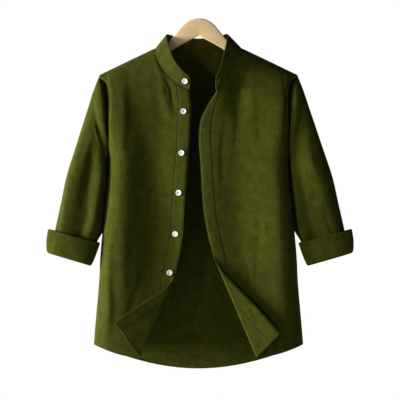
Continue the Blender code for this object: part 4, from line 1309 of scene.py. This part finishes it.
def wood_finish():
    """Pale beech, planed and lacquered: long grain with short dark flecks along it."""
    made, shader = shader_of("pale_wood", 0.42, 0.3)
    place = place_of(made)
    grain = stretched_noise(made, place, (9, 60, 210), 4.0)
    broad = stretched_noise(made, place, (3, 20, 38))
    fleck = stretched_noise(made, place, (90, 500, 900))
    tone = tone_of(made, [(grain, 1.1), (broad, 0.9), (fleck, 0.35)])
    two_tone(made, shader, tone, (0.80, 0.55, 0.26), (0.96, 0.72, 0.40))
    bumped(made, shader, grain, 0.2, 0.0002)
    return made


seam_thread = thread_finish("seam_thread", (0.020, 0.024, 0.003), (0.045, 0.050, 0.008))
pale_thread = thread_finish("pale_thread", (0.16, 0.17, 0.10), (0.34, 0.34, 0.24))
white_thread = thread_finish("white_thread", (0.62, 0.61, 0.58), (0.80, 0.79, 0.76))
white, wood = button_finish(), wood_finish()
print("materials:", [material.name for material in bpy.data.materials])


# %% The pieces take their finish
# Each sheet: the node it replaces, how it is held, and what it rests on
SHEETS = (
    (front_right, "front_right", "folded", yoke), (front_left, "front_left", "folded", yoke),
    (placket_right, "placket_right", "folded", front_right),
    (placket_left, "placket_left", "folded", front_left),
    (back, "back", "hung", yoke), (yoke, "yoke", "hung", hanger),
    (sleeve_right, "sleeve_right", "hung", yoke), (sleeve_left, "sleeve_left", "hung", yoke),
    (turn_up_right, "turn_up_right", "folded", sleeve_right),
    (turn_up_left, "turn_up_left", "folded", sleeve_left), (collar, "collar", "hung", yoke))


def finished(piece, finish, replaced=None):
    """Gives a piece its finish, attaches it to the body and hides the part it replaces."""
    piece.data.materials.clear()
    piece.data.materials.append(finish)
    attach(piece, BODY)
    if replaced:
        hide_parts(replaced)


for piece, replaced, held, under in SHEETS:
    finished(piece, olive, replaced)
for piece in (stitches_front_right, stitches_front_left, stitches_back, stitches_yoke, stitches_collar,
              holes_placket):
    finished(piece, seam_thread)
finished(hole_collar, pale_thread)
for piece, replaced in BUTTONS.items():
    finished(piece, white, replaced)
for piece in THREADS:
    finished(piece, white_thread)
finished(hanger, wood, "hanger")


# %% [markdown]
# ## The studio
#
# The shirt hangs before plain white. Even light from all round would flatten the cloth, so one large
# lamp stands low at its side and draws every fold, with a weak fill in front. A lamp behind serves the
# views from the back, and a narrow spot lifts the sleeve that would lie in the shirt's own shadow. The
# camera stands far off, so that there is little perspective. To the camera the world is white, but it
# lights the scene only faintly.

# %% Camera, light and floor
PIXEL = 2.32 * MM        # what one pixel of a 400 pixel frame shows at the shirt
FRAME_PIXELS = 400
DISTANCE = 7.0
VIEW_MIDDLE = 3.5 * MM, -422 * MM            # x and z of what the camera looks at
MIDDLE = Vector((0, 0, -0.40))
KEY_TURN, KEY_RISE, KEY_FAR = math.radians(-80), math.radians(4), 9.0
SPOT_PLACE, SPOT_TARGET = (-2.4, -2.6, 0.1), (0.34, 0, -0.36)
WORLD_LIGHT = 0.045
FLOOR_Z, FLOOR_SIZE = -1.25, 4
WHITE, FLOOR_GREY = (1, 1, 1, 1), (0.8, 0.8, 0.8, 1)

camera_data = bpy.data.cameras.new("camera")
camera = bpy.data.objects.new("camera", camera_data)
bpy.context.scene.collection.objects.link(camera)
camera_data.lens = camera_data.sensor_width * DISTANCE / (FRAME_PIXELS * PIXEL)
camera.location = (VIEW_MIDDLE[0], -DISTANCE, VIEW_MIDDLE[1])
camera.rotation_euler = (math.pi / 2, 0, 0)
bpy.context.scene.camera = camera


def lamp(name, kind, place, target, power, **values):
    """A lamp that looks at its target; values are its settings."""
    data = bpy.data.lights.new(name, kind)
    data.energy = power
    for setting, value in values.items():
        setattr(data, setting, value)
    made = bpy.data.objects.new(name, data)
    made.location = place
    made.rotation_euler = (Vector(target) - Vector(place)).to_track_quat("-Z", "Y").to_euler()
    bpy.context.scene.collection.objects.link(made)
    print("lamp", name, "at", tuple(round(value, 2) for value in made.location))


toward = Vector((math.sin(KEY_TURN) * math.cos(KEY_RISE), -math.cos(KEY_TURN) * math.cos(KEY_RISE),
                 math.sin(KEY_RISE)))
lamp("key", "AREA", MIDDLE + toward * KEY_FAR, MIDDLE, 2280, size=2.6)
lamp("fill", "AREA", (0.6, -4.0, 1.4), MIDDLE, 4, size=2.4)
lamp("behind", "AREA", (-1.6, 4.0, 1.6), MIDDLE, 260, size=2.4)
lamp("side", "SPOT", SPOT_PLACE, SPOT_TARGET, 400, spot_size=math.radians(11), spot_blend=1.0,
     shadow_soft_size=0.3)

world = bpy.data.worlds.new("studio")
bpy.context.scene.world = world
world.use_nodes = True
nodes, links = world.node_tree.nodes, world.node_tree.links
shown, lighting = nodes["Background"], nodes.new("ShaderNodeBackground")
shown.inputs["Color"].default_value = lighting.inputs["Color"].default_value = WHITE
lighting.inputs["Strength"].default_value = WORLD_LIGHT
path, mix = nodes.new("ShaderNodeLightPath"), nodes.new("ShaderNodeMixShader")
links.new(path.outputs["Is Camera Ray"], mix.inputs["Fac"])
links.new(lighting.outputs["Background"], mix.inputs[1])
links.new(shown.outputs["Background"], mix.inputs[2])
links.new(mix.outputs["Shader"], nodes["World Output"].inputs["Surface"])
bpy.context.scene.view_settings.view_transform = "Standard"

bpy.ops.object.select_all(action="DESELECT")
bpy.ops.mesh.primitive_plane_add(size=FLOOR_SIZE, location=(0, 0, FLOOR_Z))
floor = bpy.context.object
floor.name = "floor"
floor_finish, floor_shader = shader_of("pale_floor", 0.8)
floor_shader.inputs["Base Color"].default_value = FLOOR_GREY
floor.data.materials.append(floor_finish)
